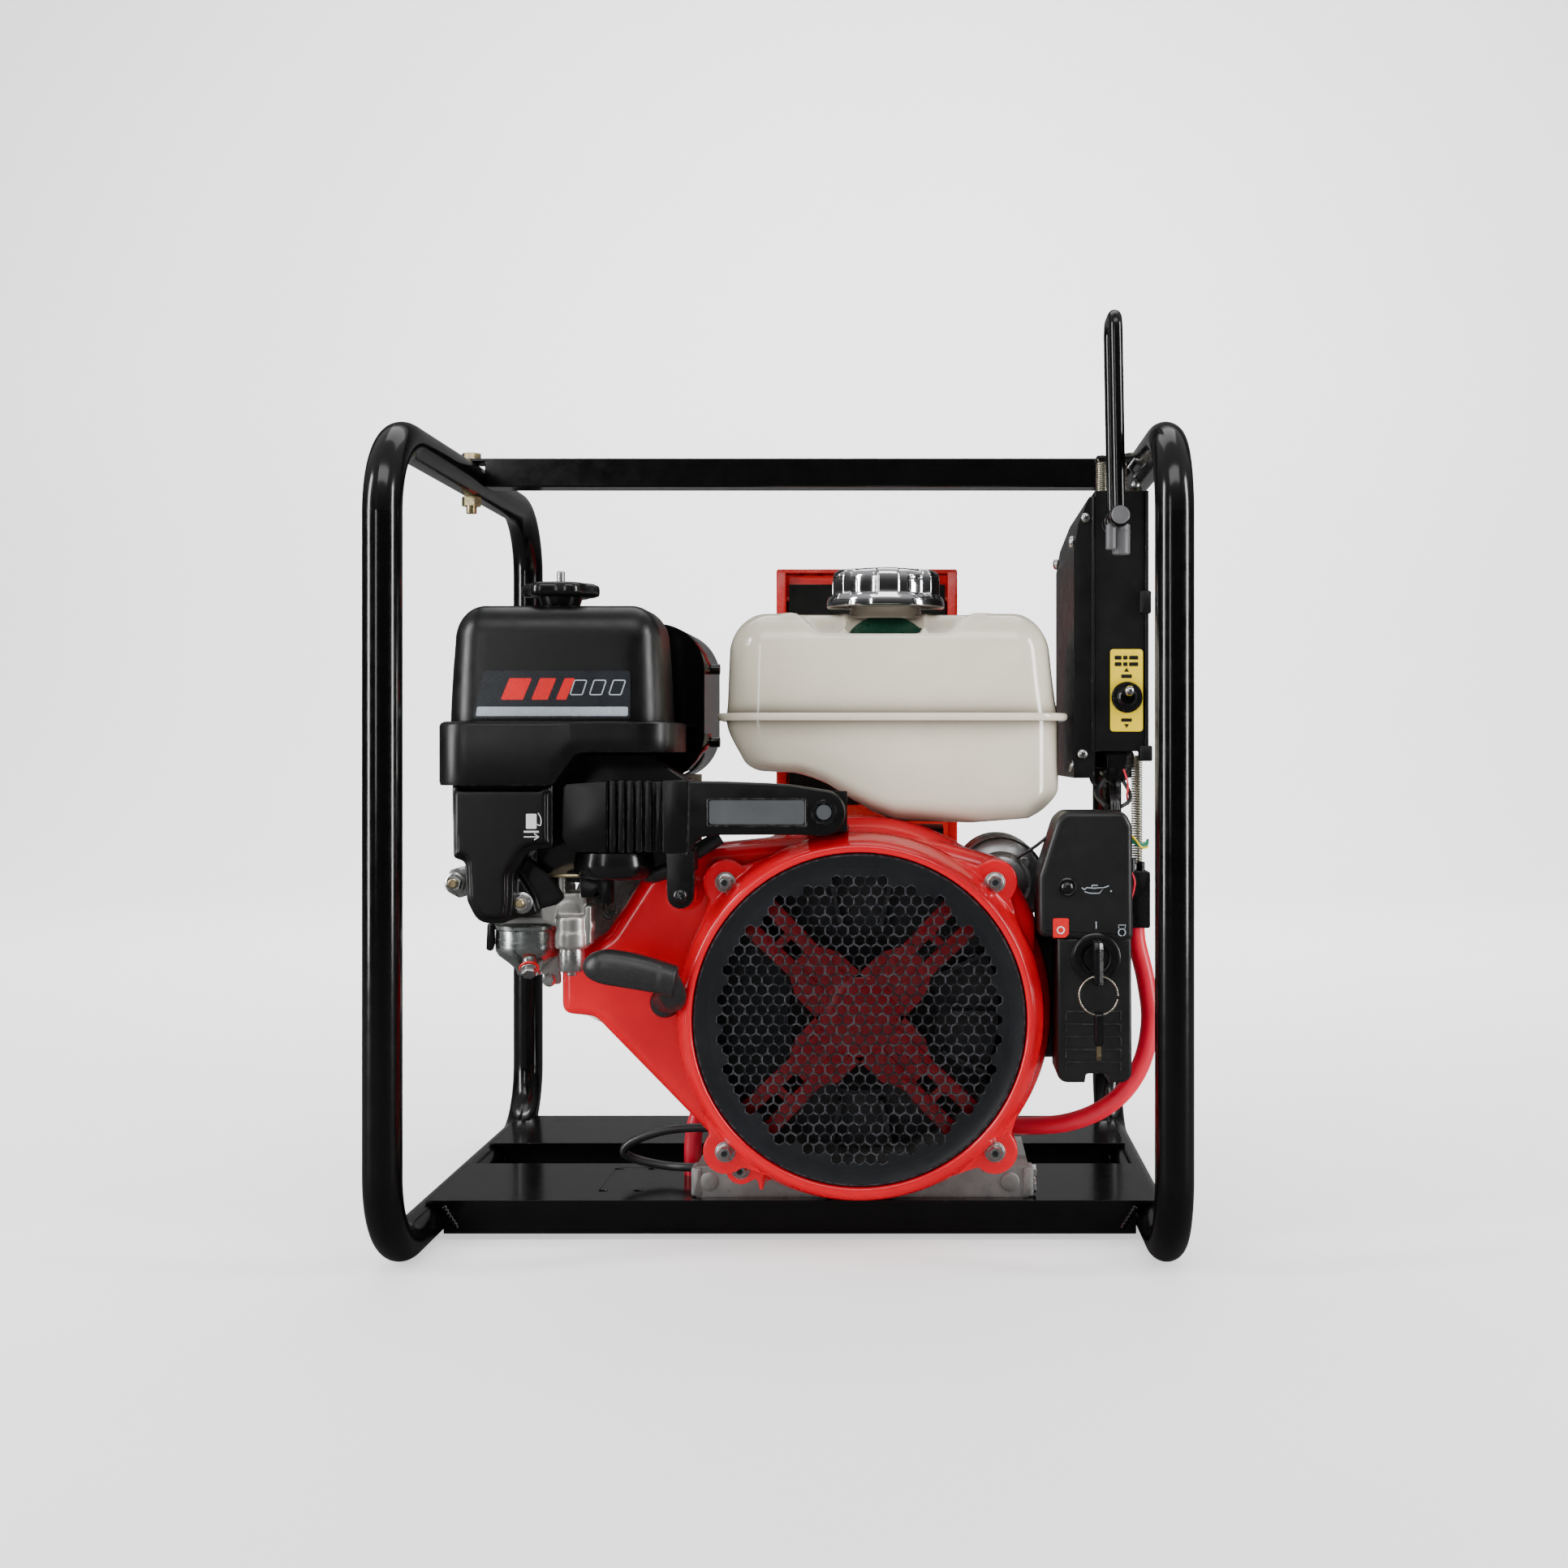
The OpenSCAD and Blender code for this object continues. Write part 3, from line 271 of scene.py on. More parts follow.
def round_rect(x0, y0, x1, y1, r, n=6):
    return (arc(x1 - r, y1 - r, r, 0, 90, n) + arc(x0 + r, y1 - r, r, 90, 180, n)
            + arc(x0 + r, y0 + r, r, 180, 270, n) + arc(x1 - r, y0 + r, r, 270, 360, n))


def round_poly(pts, r, n=5):
    """A polygon with its corners rounded; a point may carry its own radius as a third value."""
    out = []
    k = len(pts)
    for i in range(k):
        a, b, c = (Vector(pts[(i + j) % k][:2]) for j in (-1, 0, 1))
        rr = pts[i][2] if len(pts[i]) > 2 else r
        u, v = (a - b), (c - b)
        lu, lv = u.length, v.length
        u.normalize()
        v.normalize()
        ang = math.acos(max(-1, min(1, u.dot(v))))
        if rr <= 0 or ang > 3.1:
            out.append(tuple(b))
            continue
        d = min(rr / math.tan(ang / 2), 0.46 * lu, 0.46 * lv)
        for t in range(n + 1):
            s = t / n
            p = (b + u * d) * (1 - s) ** 2 + b * 2 * s * (1 - s) + (b + v * d) * s ** 2
            out.append(tuple(p))
    return out


def dense(outline, step):
    """The same closed outline, with points no further apart than about one step."""
    out = []
    for i, p in enumerate(outline):
        q = outline[(i + 1) % len(outline)]
        k = max(1, int(math.dist(p, q) / step))
        out += [(p[0] + (q[0] - p[0]) * t / k, p[1] + (q[1] - p[1]) * t / k) for t in range(k)]
    return out


def faces_out(me):
    """Turns every face of a closed mesh outwards."""
    bm = bmesh.new()
    bm.from_mesh(me)
    bmesh.ops.recalc_face_normals(bm, faces=bm.faces)
    bm.to_mesh(me)
    bm.free()


class Shape:
    """Collects verts and faces, in millimetres."""

    def __init__(self):
        self.v, self.f = [], []

    def add(self, verts, faces):
        n = len(self.v)
        self.v += [tuple(p) for p in verts]
        self.f += [[i + n for i in f] for f in faces]
        return self

    def rings(self, rings, cap0=True, cap1=True):
        """Joins rings of equally many points into a skin."""
        k = len(rings[0])
        verts = [p for r in rings for p in r]
        faces = []
        for i in range(len(rings) - 1):
            for j in range(k):
                a, b = i * k + j, i * k + (j + 1) % k
                faces.append([a, b, b + k, a + k])
        if cap0:
            faces.append(list(range(k))[::-1])
        if cap1:
            faces.append([(len(rings) - 1) * k + j for j in range(k)])
        return self.add(verts, faces)

    def lathe(self, at, axis, profile, seg=48, wave=None):
        """profile is [(radius, height)...]; wave(angle, radius, height) may change the radius."""
        rot = turned(axis)
        at = Vector(at)
        rings = []
        for r, h in profile:
            ring = []
            for j in range(seg):
                a = 2 * math.pi * j / seg
                rr = wave(a, r, h) if wave else r
                ring.append(tuple(at + rot @ Vector((rr * math.cos(a), rr * math.sin(a), h))))
            rings.append(ring)
        return self.rings(rings, profile[0][0] > 0.01, profile[-1][0] > 0.01)

    def loop_lathe(self, at, axis, profile, seg=48):
        """A closed profile turned round an axis, with a hole through it."""
        rot = turned(axis)
        at = Vector(at)
        k = len(profile)
        verts = []
        for j in range(seg):
            a = 2 * math.pi * j / seg
            for r, h in profile:
                verts.append(tuple(at + rot @ Vector((r * math.cos(a), r * math.sin(a), h))))
        faces = []
        for j in range(seg):
            for i in range(k):
                a, b = j * k + i, j * k + (i + 1) % k
                c, d = ((j + 1) % seg) * k + (i + 1) % k, ((j + 1) % seg) * k + i
                faces.append([a, b, c, d])
        return self.add(verts, faces)

    def disc_rod(self, a, b, r, seg=24, edge=0.4):
        a, b = Vector(a), Vector(b)
        h = (b - a).length
        e = min(edge, r * 0.4, h * 0.4)
        return self.lathe(a, b - a, [(r - e, 0), (r, e), (r, h - e), (r - e, h)], seg)

    def ball(self, c, r, seg=20):
        n = 10
        turns = [math.pi * i / n for i in range(n + 1)]
        prof = [(max(r * math.sin(a), 0.001), -r * math.cos(a)) for a in turns]
        return self.lathe(c, "z", prof, seg)

    def hexhead(self, at, axis, af, h, flange=0.0, turn=0.0):
        """A hex head with a chamfered crown, from its seat up, with an optional flange."""
        r = af / 2 / math.cos(math.radians(30))
        rot = turned(axis)
        at = Vector(at)
        z0 = 0.0
        if flange:
            self.lathe(at, axis, [(flange, 0), (flange, 0.9), (flange * 0.86, 1.6), (r * 0.9, 2.0)], 32)
            z0 = 1.4
        rings = []
        for rr, z in ((r, z0), (r, h * 0.82), (r * 0.93, h)):
            rings.append([tuple(at + rot @ Vector((rr * math.cos(turn + j * math.pi / 3),
                                                   rr * math.sin(turn + j * math.pi / 3), z)))
                          for j in range(6)])
        return self.rings(rings)

    def prism(self, outline, plane, h0, h1, edge=0.0, steps=2):
        """An outline made solid, with rounded rims of radius edge at both ends."""
        if edge <= 0:
            return self.rings([lift(outline, plane, h0), lift(outline, plane, h1)])
        e = edge if h1 > h0 else -edge
        turn = quarter(steps)
        rings = [lift(inset(outline, edge * (1 - s)), plane, h0 + e * (1 - c)) for s, c in turn]
        rings += [lift(inset(outline, edge * (1 - c)), plane, h1 - e * (1 - s)) for s, c in turn]
        return self.rings(rings)

    def soft_front(self, outline, front, back, shrink, depth, steps):
        """A solid along y with a rounded front rim and an open-edged back."""
        rings = [lift(inset(outline, shrink * (1 - s)), "y", front + depth * (1 - c))
                 for s, c in quarter(steps)]
        return self.rings(rings + [lift(outline, "y", back)])

    def cross(self, x, y, z, reach, wire, turn):
        """The cross slot of a screw that faces the front, as two bars that are given a dark finish: painted
        shade for the slot.
        """
        for a in (turn, turn + math.pi / 2):
            dx, dz = reach * math.cos(a), reach * math.sin(a)
            self.tube([(x - dx, y, z - dz), (x + dx, y, z + dz)], wire, 6, straight=True)

    def block(self, lo, hi, edge=0.8):
        """A box between two corners, with rounded edges."""
        outline = round_rect(lo[0], lo[2], hi[0], hi[2], max(edge, 0.2), 3)
        return self.prism(outline, "y", lo[1], hi[1], edge)

    def tube(self, pts, r, seg=16, per=6, straight=False):
        """A round bar along points; r may be a function of the way along, from 0 to 1."""
        path = pts if straight else spline(pts, per)
        rad = r if callable(r) else (lambda t: r)
        path = [Vector(p) for p in path]
        n = len(path)
        t0 = (path[1] - path[0]).normalized()
        u = t0.cross(Vector((0.3, 0.2, 1))).normalized()
        rings = []
        for i, p in enumerate(path):
            t = (path[min(i + 1, n - 1)] - path[max(i - 1, 0)]).normalized()
            u = (u - t * u.dot(t)).normalized()
            w = t.cross(u)
            rr = rad(i / (n - 1))
            turns = [2 * math.pi * j / seg for j in range(seg)]
            rings.append([tuple(p + (u * math.cos(a) + w * math.sin(a)) * rr) for a in turns])
        return self.rings(rings)

    def coil(self, a, b, r, wire, turns):
        """A helix from a to b, in 14 straight steps a turn."""
        a, b = Vector(a), Vector(b)
        rot = turned(b - a)
        length = (b - a).length
        n = int(turns * 14)
        pts = []
        for i in range(n + 1):
            t = 2 * math.pi * turns * i / n
            pts.append(a + rot @ Vector((r * math.cos(t), r * math.sin(t), length * i / n)))
        return self.tube(pts, wire, 8, straight=True)

    def make(self, name, mat, body="frame", sharp=38, slot=None, stands_for=(), recalc=True, bevel=0.0):
        """Turns the collected faces into one named piece, on its body; the slot it is given is not used."""
        me = bpy.data.meshes.new(name)
        me.from_pydata([(x * MM, y * MM, z * MM) for x, y, z in self.v], [], self.f)
        me.materials.append(M[mat])
        me.validate()
        if recalc:
            faces_out(me)
        me.shade_smooth()
        me.set_sharp_from_angle(angle=math.radians(sharp))
        ob = bpy.data.objects.new(name, me)
        bpy.context.scene.collection.objects.link(ob)
        if bevel:
            b = ob.modifiers.new("edge", "BEVEL")
            b.width = bevel * MM
            b.segments = 2
            b.limit_method = "ANGLE"
            b.angle_limit = math.radians(40)
            b.harden_normals = True
        if body:
            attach(ob, body)
        if stands_for:
            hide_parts(*stands_for)
        return ob


def baked(ob):
    """Turns the modifiers of a piece into plain mesh."""
    me = bpy.data.meshes.new_from_object(ob.evaluated_get(bpy.context.evaluated_depsgraph_get()))
    ob.modifiers.clear()
    ob.data = me


def cut(ob, tool, sharp):
    """Takes a closed shape out of a piece."""
    me = bpy.data.meshes.new("cutter")
    me.from_pydata([(x * MM, y * MM, z * MM) for x, y, z in tool.v], [], tool.f)
    faces_out(me)
    k = bpy.data.objects.new("cutter", me)
    bpy.context.scene.collection.objects.link(k)
    b = ob.modifiers.new("cut", "BOOLEAN")
    b.operation = "DIFFERENCE"
    b.object = k
    b.solver = "EXACT"
    baked(ob)
    bpy.data.objects.remove(k)
    ob.data.shade_smooth()
    ob.data.set_sharp_from_angle(angle=math.radians(sharp))


def inset(outline, d):
    """The outline moved inwards by d, point by point along its own normals."""
    if abs(d) < 1e-9:
        return list(outline)
    k = len(outline)
    after = outline[1:] + outline[:1]
    area = sum(p[0] * q[1] - q[0] * p[1] for p, q in zip(outline, after))
    s = 1 if area > 0 else -1
    out = []
    for i in range(k):
        a, b, c = (Vector(outline[(i + j) % k]) for j in (-1, 0, 1))
        u, v = (b - a), (c - b)
        if u.length < 1e-6:
            u = v.copy()
        if v.length < 1e-6:
            v = u.copy()
        u.normalize()
        v.normalize()
        n1, n2 = Vector((-u.y, u.x)) * s, Vector((-v.y, v.x)) * s
        n = n1 + n2
        if n.length < 1e-6:
            n = n1
        n.normalize()
        f = max(0.5, n.dot(n1))
        p = b + n * (d / f)
        out.append((p.x, p.y))
    return out


def spline(pts, per):
    pts = [Vector(p) for p in pts]
    n = len(pts)
    out = []
    for i in range(n - 1):
        p0, p1, p2, p3 = pts[max(i - 1, 0)], pts[i], pts[i + 1], pts[min(i + 2, n - 1)]
        for k in range(per):
            t = k / per
            out.append(0.5 * ((2 * p1) + (p2 - p0) * t + (2 * p0 - 5 * p1 + 4 * p2 - p3) * t * t
                              + (3 * p1 - p0 - 3 * p2 + p3) * t * t * t))
    out.append(pts[-1])
    return out


def smooth01(t):
    t = max(0.0, min(1.0, t))
    return t * t * (3 - 2 * t)


def lin(x, table):
    """Straight lines through (x, y) pairs, held flat outside them."""
    if x <= table[0][0]:
        return table[0][1]
    for (x0, y0), (x1, y1) in zip(table, table[1:]):
        if x <= x1:
            return y0 + (y1 - y0) * (x - x0) / (x1 - x0)
    return table[-1][1]


# ---------------------------------------------------------------- camera, light and floor

cam_data = bpy.data.cameras.new("camera")
cam_data.lens = 41.6
cam_data.sensor_width = 36
cam_data.shift_x = -0.0892
cam_data.shift_y = -0.0198
cam_data.clip_start = 0.05
cam = bpy.data.objects.new("camera", cam_data)
cam.location = (0.094, -1.387, 0.3418)
cam.rotation_euler = (math.radians(90), 0, 0)
bpy.context.scene.collection.objects.link(cam)
bpy.context.scene.camera = cam


def area_light(name, at, look, size, power, size_y=None):
    d = bpy.data.lights.new(name, "AREA")
    d.energy = power
    d.size = size
    if size_y:
        d.shape = "RECTANGLE"
        d.size_y = size_y
    o = bpy.data.objects.new(name, d)
    o.location = at
    o.rotation_euler = (Vector(look) - Vector(at)).to_track_quat("-Z", "Y").to_euler()
    bpy.context.scene.collection.objects.link(o)


area_light("key_left", (-1.75, -0.85, 0.8), (0, 0, 0.3), 0.34, 38, 1.6)
area_light("key_right", (1.95, -0.75, 0.8), (0, 0, 0.3), 0.36, 38, 1.6)
area_light("front_top", (0.1, -1.7, 2.3), (0, 0, 0.3), 2.2, 20, 0.8)
area_light("strip_left", (-0.85, -1.9, 0.75), (0, 0, 0.35), 0.1, 4, 1.0)
area_light("top", (0.0, 0.5, 2.1), (0, 0, 0.2), 1.6, 8, 1.0)
area_light("backdrop", (0.0, 1.4, 2.6), (0, 4.0, 0.6), 3.4, 190, 1.4)

world = bpy.data.worlds.new("studio")
world.use_nodes = True
wn, wl = world.node_tree.nodes, world.node_tree.links
wt = wn.new("ShaderNodeTexCoord")
wx = wn.new("ShaderNodeSeparateXYZ")
wr = wn.new("ShaderNodeMapRange")
wr.interpolation_type = "SMOOTHSTEP"
for key, value in (("From Min", 0.0), ("From Max", 0.8), ("To Min", 0.03), ("To Max", 0.50)):
    wr.inputs[key].default_value = value
wl.new(wt.outputs["Generated"], wx.inputs["Vector"])
wl.new(wx.outputs["Z"], wr.inputs["Value"])
wl.new(wr.outputs["Result"], wn["Background"].inputs["Strength"])
wn["Background"].inputs["Color"].default_value = (1, 1, 1, 1)
bpy.context.scene.world = world


def floor():
    """A plain pale floor that curves up far behind the object."""
    start, bend, half, drop = 3.0, 1.5, 6, 0.0004
    prof = [(-4.0, 0.0), (start, 0.0)]
    prof += [(start + bend * s, bend - bend * c) for s, c in quarter(16)[1:]]
    prof.append((start + bend, 5.0))
    verts = [(x, y, z - drop) for y, z in prof for x in (-half, half)]
    faces = [[2 * i, 2 * i + 1, 2 * i + 3, 2 * i + 2] for i in range(len(prof) - 1)]
    me = bpy.data.meshes.new("floor")
    me.from_pydata(verts, [], faces)
    me.shade_smooth()
    m = material("floor_pale", (0.93, 0.93, 0.93), vary=0.01, scale=3, rough=(0.6, 0.7), bumps=())
    nd, ln = m.node_tree.nodes, m.node_tree.links
    pale = nd["Principled BSDF"]
    pale.inputs["Emission Color"].default_value = (1, 1, 1, 1)
    pale.inputs["Emission Strength"].default_value = 0.8
    # reflections see the floor as a dim one, as they would among the dark flags of a studio
    dim = nd.new("ShaderNodeBsdfPrincipled")
    dim.inputs["Base Color"].default_value = (0.06, 0.06, 0.06, 1)
    dim.inputs["Roughness"].default_value = 0.8
    lp = nd.new("ShaderNodeLightPath")
    mx = nd.new("ShaderNodeMixShader")
    ln.new(lp.outputs["Is Glossy Ray"], mx.inputs[0])
    ln.new(pale.outputs["BSDF"], mx.inputs[1])
    ln.new(dim.outputs["BSDF"], mx.inputs[2])
    ln.new(mx.outputs["Shader"], nd["Material Output"].inputs["Surface"])
    me.materials.append(m)
    ob = bpy.data.objects.new("floor", me)
    bpy.context.scene.collection.objects.link(ob)


floor()


# ---------------------------------------------------------------- CAD nodes that keep their shape

def keep(node, mat, edge=0.0):
    """Gives a carried-over CAD node its finish, and rounds its crisp edges for show."""
    o = nodes[node]
    o.data.materials.clear()
    o.data.materials.append(M[mat])
    if edge:
        w = o.modifiers.new("weld", "WELD")
        w.merge_threshold = 0.00002
        b = o.modifiers.new("edge", "BEVEL")
        b.width = edge * MM
        b.segments = 2
        b.limit_method = "ANGLE"
        b.angle_limit = math.radians(35)
        b.harden_normals = True
        b.use_clamp_overlap = True


def cast_blend(ob, voxel, rounds):
    """Fuses the closed bodies of a piece into one skin with cast fillets."""
    r = ob.modifiers.new("fuse", "REMESH")
    r.mode = "VOXEL"
    r.voxel_size = voxel * MM
    r.use_smooth_shade = True
    s = ob.modifiers.new("fillet", "SMOOTH")
    s.factor = 0.5
    s.iterations = rounds


# CAD nodes by finish, with the width of the bevel on their edges in millimetres
KEPT = {
    "gloss_black": {"left_hoop": 0, "right_hoop": 0, "lift_bar": 1.2, "base_channels": 0.5,
                    "muffler_shield": 1.0, "folding_handle": 0},
    "yellow_zinc": {"frame_bolts": 0.4},
    "cast": {"crankcase": 0.9, "crankcase_cover": 0.9, "cylinder_head": 0.5, "rocker_cover": 1.5,
             "end_bell": 1.0},
    "steel": {"main_bearings": 0, "crankshaft": 0, "piston_pin": 0, "piston": 0, "handle_bracket": 0.5},
    "ceramic": {"spark_plug": 0.4},
    "plastic_black": {"oil_filler_cap": 0.8, "recoil_pulley": 0.4, "outlet_panel": 0.4, "key_box": 1.6},
    "fan": {"flywheel_fan": 0.4},
    "rubber": {"rope_guide": 0.6},
    "rope": {"starter_rope": 0},
    "satin_black": {"tank_brackets": 0.4, "rear_foot": 0.8, "control_box": 0.8, "control_box_cover": 0.8},
    "foam": {"air_filter": 0},
    "cast_fine": {"carburettor": 0.8},
    "plastic_smooth": {"fuel_valve_lever": 0.5, "toggle_switch": 0.3, "ignition_key": 0.3},
    "exhaust": {"muffler": 0.5},
    "grey": {"alternator_housing": 1.2},
    "iron": {"stator": 0, "rotor": 0},
    "label_red": {"breaker_button": 0.5},
    "chrome": {"toggle_bat": 0.2},
    "badge": {"label_plates": 0.2},
    "zinc": {"key_ring": 0},
}
for finish, group in KEPT.items():
    for node, edge in group.items():
        keep(node, finish, edge)


# ---------------------------------------------------------------- fuel tank

TANK = dense(round_rect(-47, -121, 190, 29, 30, 14), 3.2)
TANK_MID = (71.5, -46.0)
FLANGE_Z, SHOULDER_Z, CROWN_Z, SHELF_Z = 368.0, 412.5, 441, 425.5
RAMP_Y = -70    # the recess lies in front of this


def recess(x, y):
    """Height of the pressed ramp in front of the filler neck, with a ridge at each side."""
    side = lin(x, [(2, 1.0), (23, 0.0), (109, 0.0), (130, 1.0)])
    ramp = smooth01((y + 104) / 20)
    h = SHELF_Z + (CROWN_Z - SHELF_Z) * max(smooth01(side), ramp)
    for xr in (37.5, 94.5):
        h += 6.0 * math.exp(-((x - xr) / 2.6) ** 2) * smooth01((y + 118) / 8) * (1 - ramp * 0.4)
    return h


def pressed(x, y, z):
    """A point of the tank's top after the recess is pressed in: its rim stands up, its wall is eased."""
    h = recess(x, y)
    if z > CROWN_Z - 5 and y < RAMP_Y:
        crest = math.exp(-((x + 1) / 5.5) ** 2) + math.exp(-((x - 133) / 5.5) ** 2)
        z += 3.4 * crest * smooth01((RAMP_Y - y) / 25)
    if z > 415 and y < RAMP_Y:
        if z > h:
            z = h
        elif h - z < 3:
            z = h - 3 + (3 - (h - z) ** 2 / 3) * 0.35 + (z - (h - 3)) * 0.65
    return x, y, z


def tank_bottom(x):
    """Height of the stepped underside."""
    return lin(x, [(-24, 328.5), (4, 327.5), (24, 321), (41, 310.5), (58, 300.0), (74, 294.0), (128, 292.5),
                   (168, 295.5), (186, 304)])


def tank_upper(s):
    """The upper half, from the flange to the crown."""
    cx, cy = TANK_MID
    steps = [(0, FLANGE_Z)] + [(0.6 + 0.03 * i, 372 + 5.0 * i) for i in range(1, 8)]
    wall = steps[-1][0]
    steps += [(wall + 26 * (1 - c), SHOULDER_Z + (CROWN_Z - SHOULDER_Z) * s) for s, c in quarter(18)[1:]]
    rings = []
    for d, z in steps:
        ring = []
        taper = (z - FLANGE_Z) / (CROWN_Z - FLANGE_Z)
        for x, y in inset(TANK, d):
            if x > cx:
                x -= 11.5 * taper * (x - cx) / 118 * (1 - 0.35 * taper)
            else:
                x += 2.5 * taper * (cx - x) / 118
            ring.append((x, y, z))
        rings.append(ring)
    flat = rings[-1]
    for k in range(1, 26):
        f = 1 - k / 26
        top = CROWN_Z + 1.2 * (1 - f * f)
        rings.append([(cx + (x - cx) * f, cy + (y - cy) * f, top) for x, y, z in flat])
    s.rings([[pressed(*p) for p in ring] for ring in rings])


def tank_lower(s):
    """The lower half: walls that drop to a stepped underside."""
    cx, cy = TANK_MID
    start = FLANGE_Z - 2
    rings = []
    for i in range(27):
        t = i / 26
        if t < 0.7:
            u, d = t / 0.7, 0.0
            drop = 0.78 * u
        else:
            a = (t - 0.7) / 0.3 * math.pi / 2
            d = 17 * (1 - math.cos(a))
            drop = 0.78 + 0.22 * math.sin(a)
        ring = []
        for x, y in inset(TANK, d):
            z = start - (start - tank_bottom(x)) * drop
            lean = smooth01((start - z) / 45)
            if x < 20:
                x += 17 * lean * (20 - x) / 67
            ring.append((x, y, z))
        rings.append(ring)
    edge = rings[-1]
    for k in range(1, 22):
        f = 1 - k / 22
        ring = []
        for x, y, z in edge:
            nx = cx + (x - cx) * f
            ring.append((nx, cy + (y - cy) * f, tank_bottom(nx) + (z - tank_bottom(x)) * f))
        rings.append(ring)
    s.rings(rings)


def tank():
    s = Shape()
    tank_upper(s)
    tank_lower(s)

    # rolled rim where the halves meet
    rim = dense(round_rect(-53, -131, 197, 39, 36, 14), 6)
    prof = [(12, 1.2), (3.0, 1.6), (1.2, 2.6), (0.2, 1.8), (0.0, 0.2), (0.4, -1.6), (1.6, -2.7), (3.2, -2.2),
            (4.2, -1.2), (12, -1.0)]
    rings = [[(x, y, 367.2 + h) for x, y in inset(rim, d)] for d, h in prof]
    s.rings(rings, False, False)

    # filler neck with a rolled lip
    s.lathe((*CAP_AT, 0), "z", [(33, 438), (29, 440.5), (26.5, 443), (25, 447), (24.2, 450.5), (23.4, 451.8),
                                (22.2, 451.8), (21.4, 450), (21.4, 440)], 64)
    s.make("fuel_tank_shell", "cream", stands_for=("fuel_tank",), sharp=50)

    # a label that follows the recess
    rows, cols = 8, 12
    g = Shape()
    verts = []
    for i in range(rows + 1):
        y = -101.5 + 11.5 * i / rows
        w = 25.5 - 13 * (i / rows) ** 2.2
        for j in range(cols + 1):
            x = 67 - w + 2 * w * j / cols
            verts.append((x, y, recess(x, y) + 0.4))
    corners = [i * (cols + 1) + j for i in range(rows) for j in range(cols)]
    g.add(verts, [[a, a + 1, a + cols + 2, a + cols + 1] for a in corners])
    g.make("tank_label", "label_green", recalc=False)


tank()


def fuel_cap():
    s = Shape()
    low, grip_at, pitch = 454.6, 273.8, 60

    def wave(a, r, h):
        """Six narrow grips with broad shallow hollows between them."""
        if h < low or r < 20:
            return r
        x = (math.degrees(a) - grip_at) % pitch
        x = min(x, pitch - x)
        depth = 5.4 * smooth01((h - low) / 1.6) * smooth01((r - 24) / 13)
        return r - depth * smooth01((x - 10.6) / 3.0)

    prof = [(22, 446.4), (41.6, 446.4), (42.9, 447.4), (43.0, 450.5), (42.6, 452.4), (41.6, 454.4),
            (41.1, 455.6), (40.9, 456.6), (40.9, 458.2), (41.0, 460), (41.0, 464), (40.9, 467.5),
            (40.3, 470.2), (38.9, 472.2), (36.0, 473.6), (31, 474.2), (24, 474.4), (20, 474.0),
            (10, 474.0), (0.5, 474.0)]
    s.lathe((*CAP_AT, 0), "z", prof, 240, wave)
    s.make("fuel_cap_shell", "chrome", body="fuel_cap", stands_for=("fuel_cap",), sharp=42)


fuel_cap()


# ---------------------------------------------------------------- red cover behind the tank

def red_cover():
    s = Shape()
    x0, x1, z0, z1, y0, y1 = -25, 121, 254, 490, 74, 164
    side = 3.0
    # four walls, with the top pierced by slots at the front
    s.block((x0, y0 + 0.3, z0), (x0 + side, y1 - 0.3, z1 - 1), 0.9)
    s.block((x1 - side, y0 + 0.3, z0), (x1, y1 - 0.3, z1 - 1), 0.9)
    s.block((x0 + 0.5, y0 + 16, z1 - side), (x1 - 0.5, y1 - 0.3, z1), 0.9)
    s.block((x0 + 0.5, y0 + 0.6, z1 - side), (x1 - 0.5, y0 + 3.2, z1), 0.9)
    n = 9
    pitch = (x1 - x0 - 8) / n
    for i in range(n + 1):
        x = x0 + 2 + i * pitch
        s.block((x, y0 + 2, z1 - side), (x + 4.2, y0 + 17, z1), 0.7)
    # the front frame: a deep cross bar under the slots and two posts
    s.block((x0 + 2, y0 + 6, 466), (x1 - 2, y0 + 8.4, 485.4), 0.6)
    s.tube([(x0 + 2, y0 + 7, 466.4), (x1 - 2, y0 + 7, 466.4)], 2.0, 12, straight=True)
    s.block((x0 + 0.2, y0, z0 + 0.2), (x0 + 8, y0 + 3, 488), 0.8)
    s.block((x1 - 8, y0, z0 + 0.2), (x1 - 0.2, y0 + 3, 488), 0.8)
    s.block((x0 + 0.4, y0 + 0.15, z0 + 0.4), (x1 - 0.4, y0 + 2.8, 300), 0.8)
    # back frame round the outlet panel
    s.block((x0 + 0.4, y1 - 2.8, z0 + 0.4), (x0 + 11, y1 - 0.15, z1 - 0.4), 0.6)
    s.block((x1 - 11, y1 - 2.8, z0 + 0.4), (x1 - 0.4, y1 - 0.15, z1 - 0.4), 0.6)
    s.block((x0 + 0.2, y1 - 3, 450), (x1 - 0.2, y1, z1 - 0.2), 0.8)
    s.block((x0 + 0.2, y1 - 3, z0 + 0.2), (x1 - 0.2, y1, 320), 0.8)
    s.make("generator_cover_shell", "red_box", stands_for=("generator_cover",), sharp=35)
    d = Shape()
    for x, z in ((x0 + 4, 300), (x1 - 4, 300), (x0 + 4, 440), (x1 - 4, 440)):
        d.lathe((x, y1 - 0.2, z), "y", [(4.4, 0), (4.2, 1.2), (3.0, 2.2), (0.5, 2.5)], 24)
    d.make("cover_screws", "zinc")


red_cover()


# ---------------------------------------------------------------- air cleaner

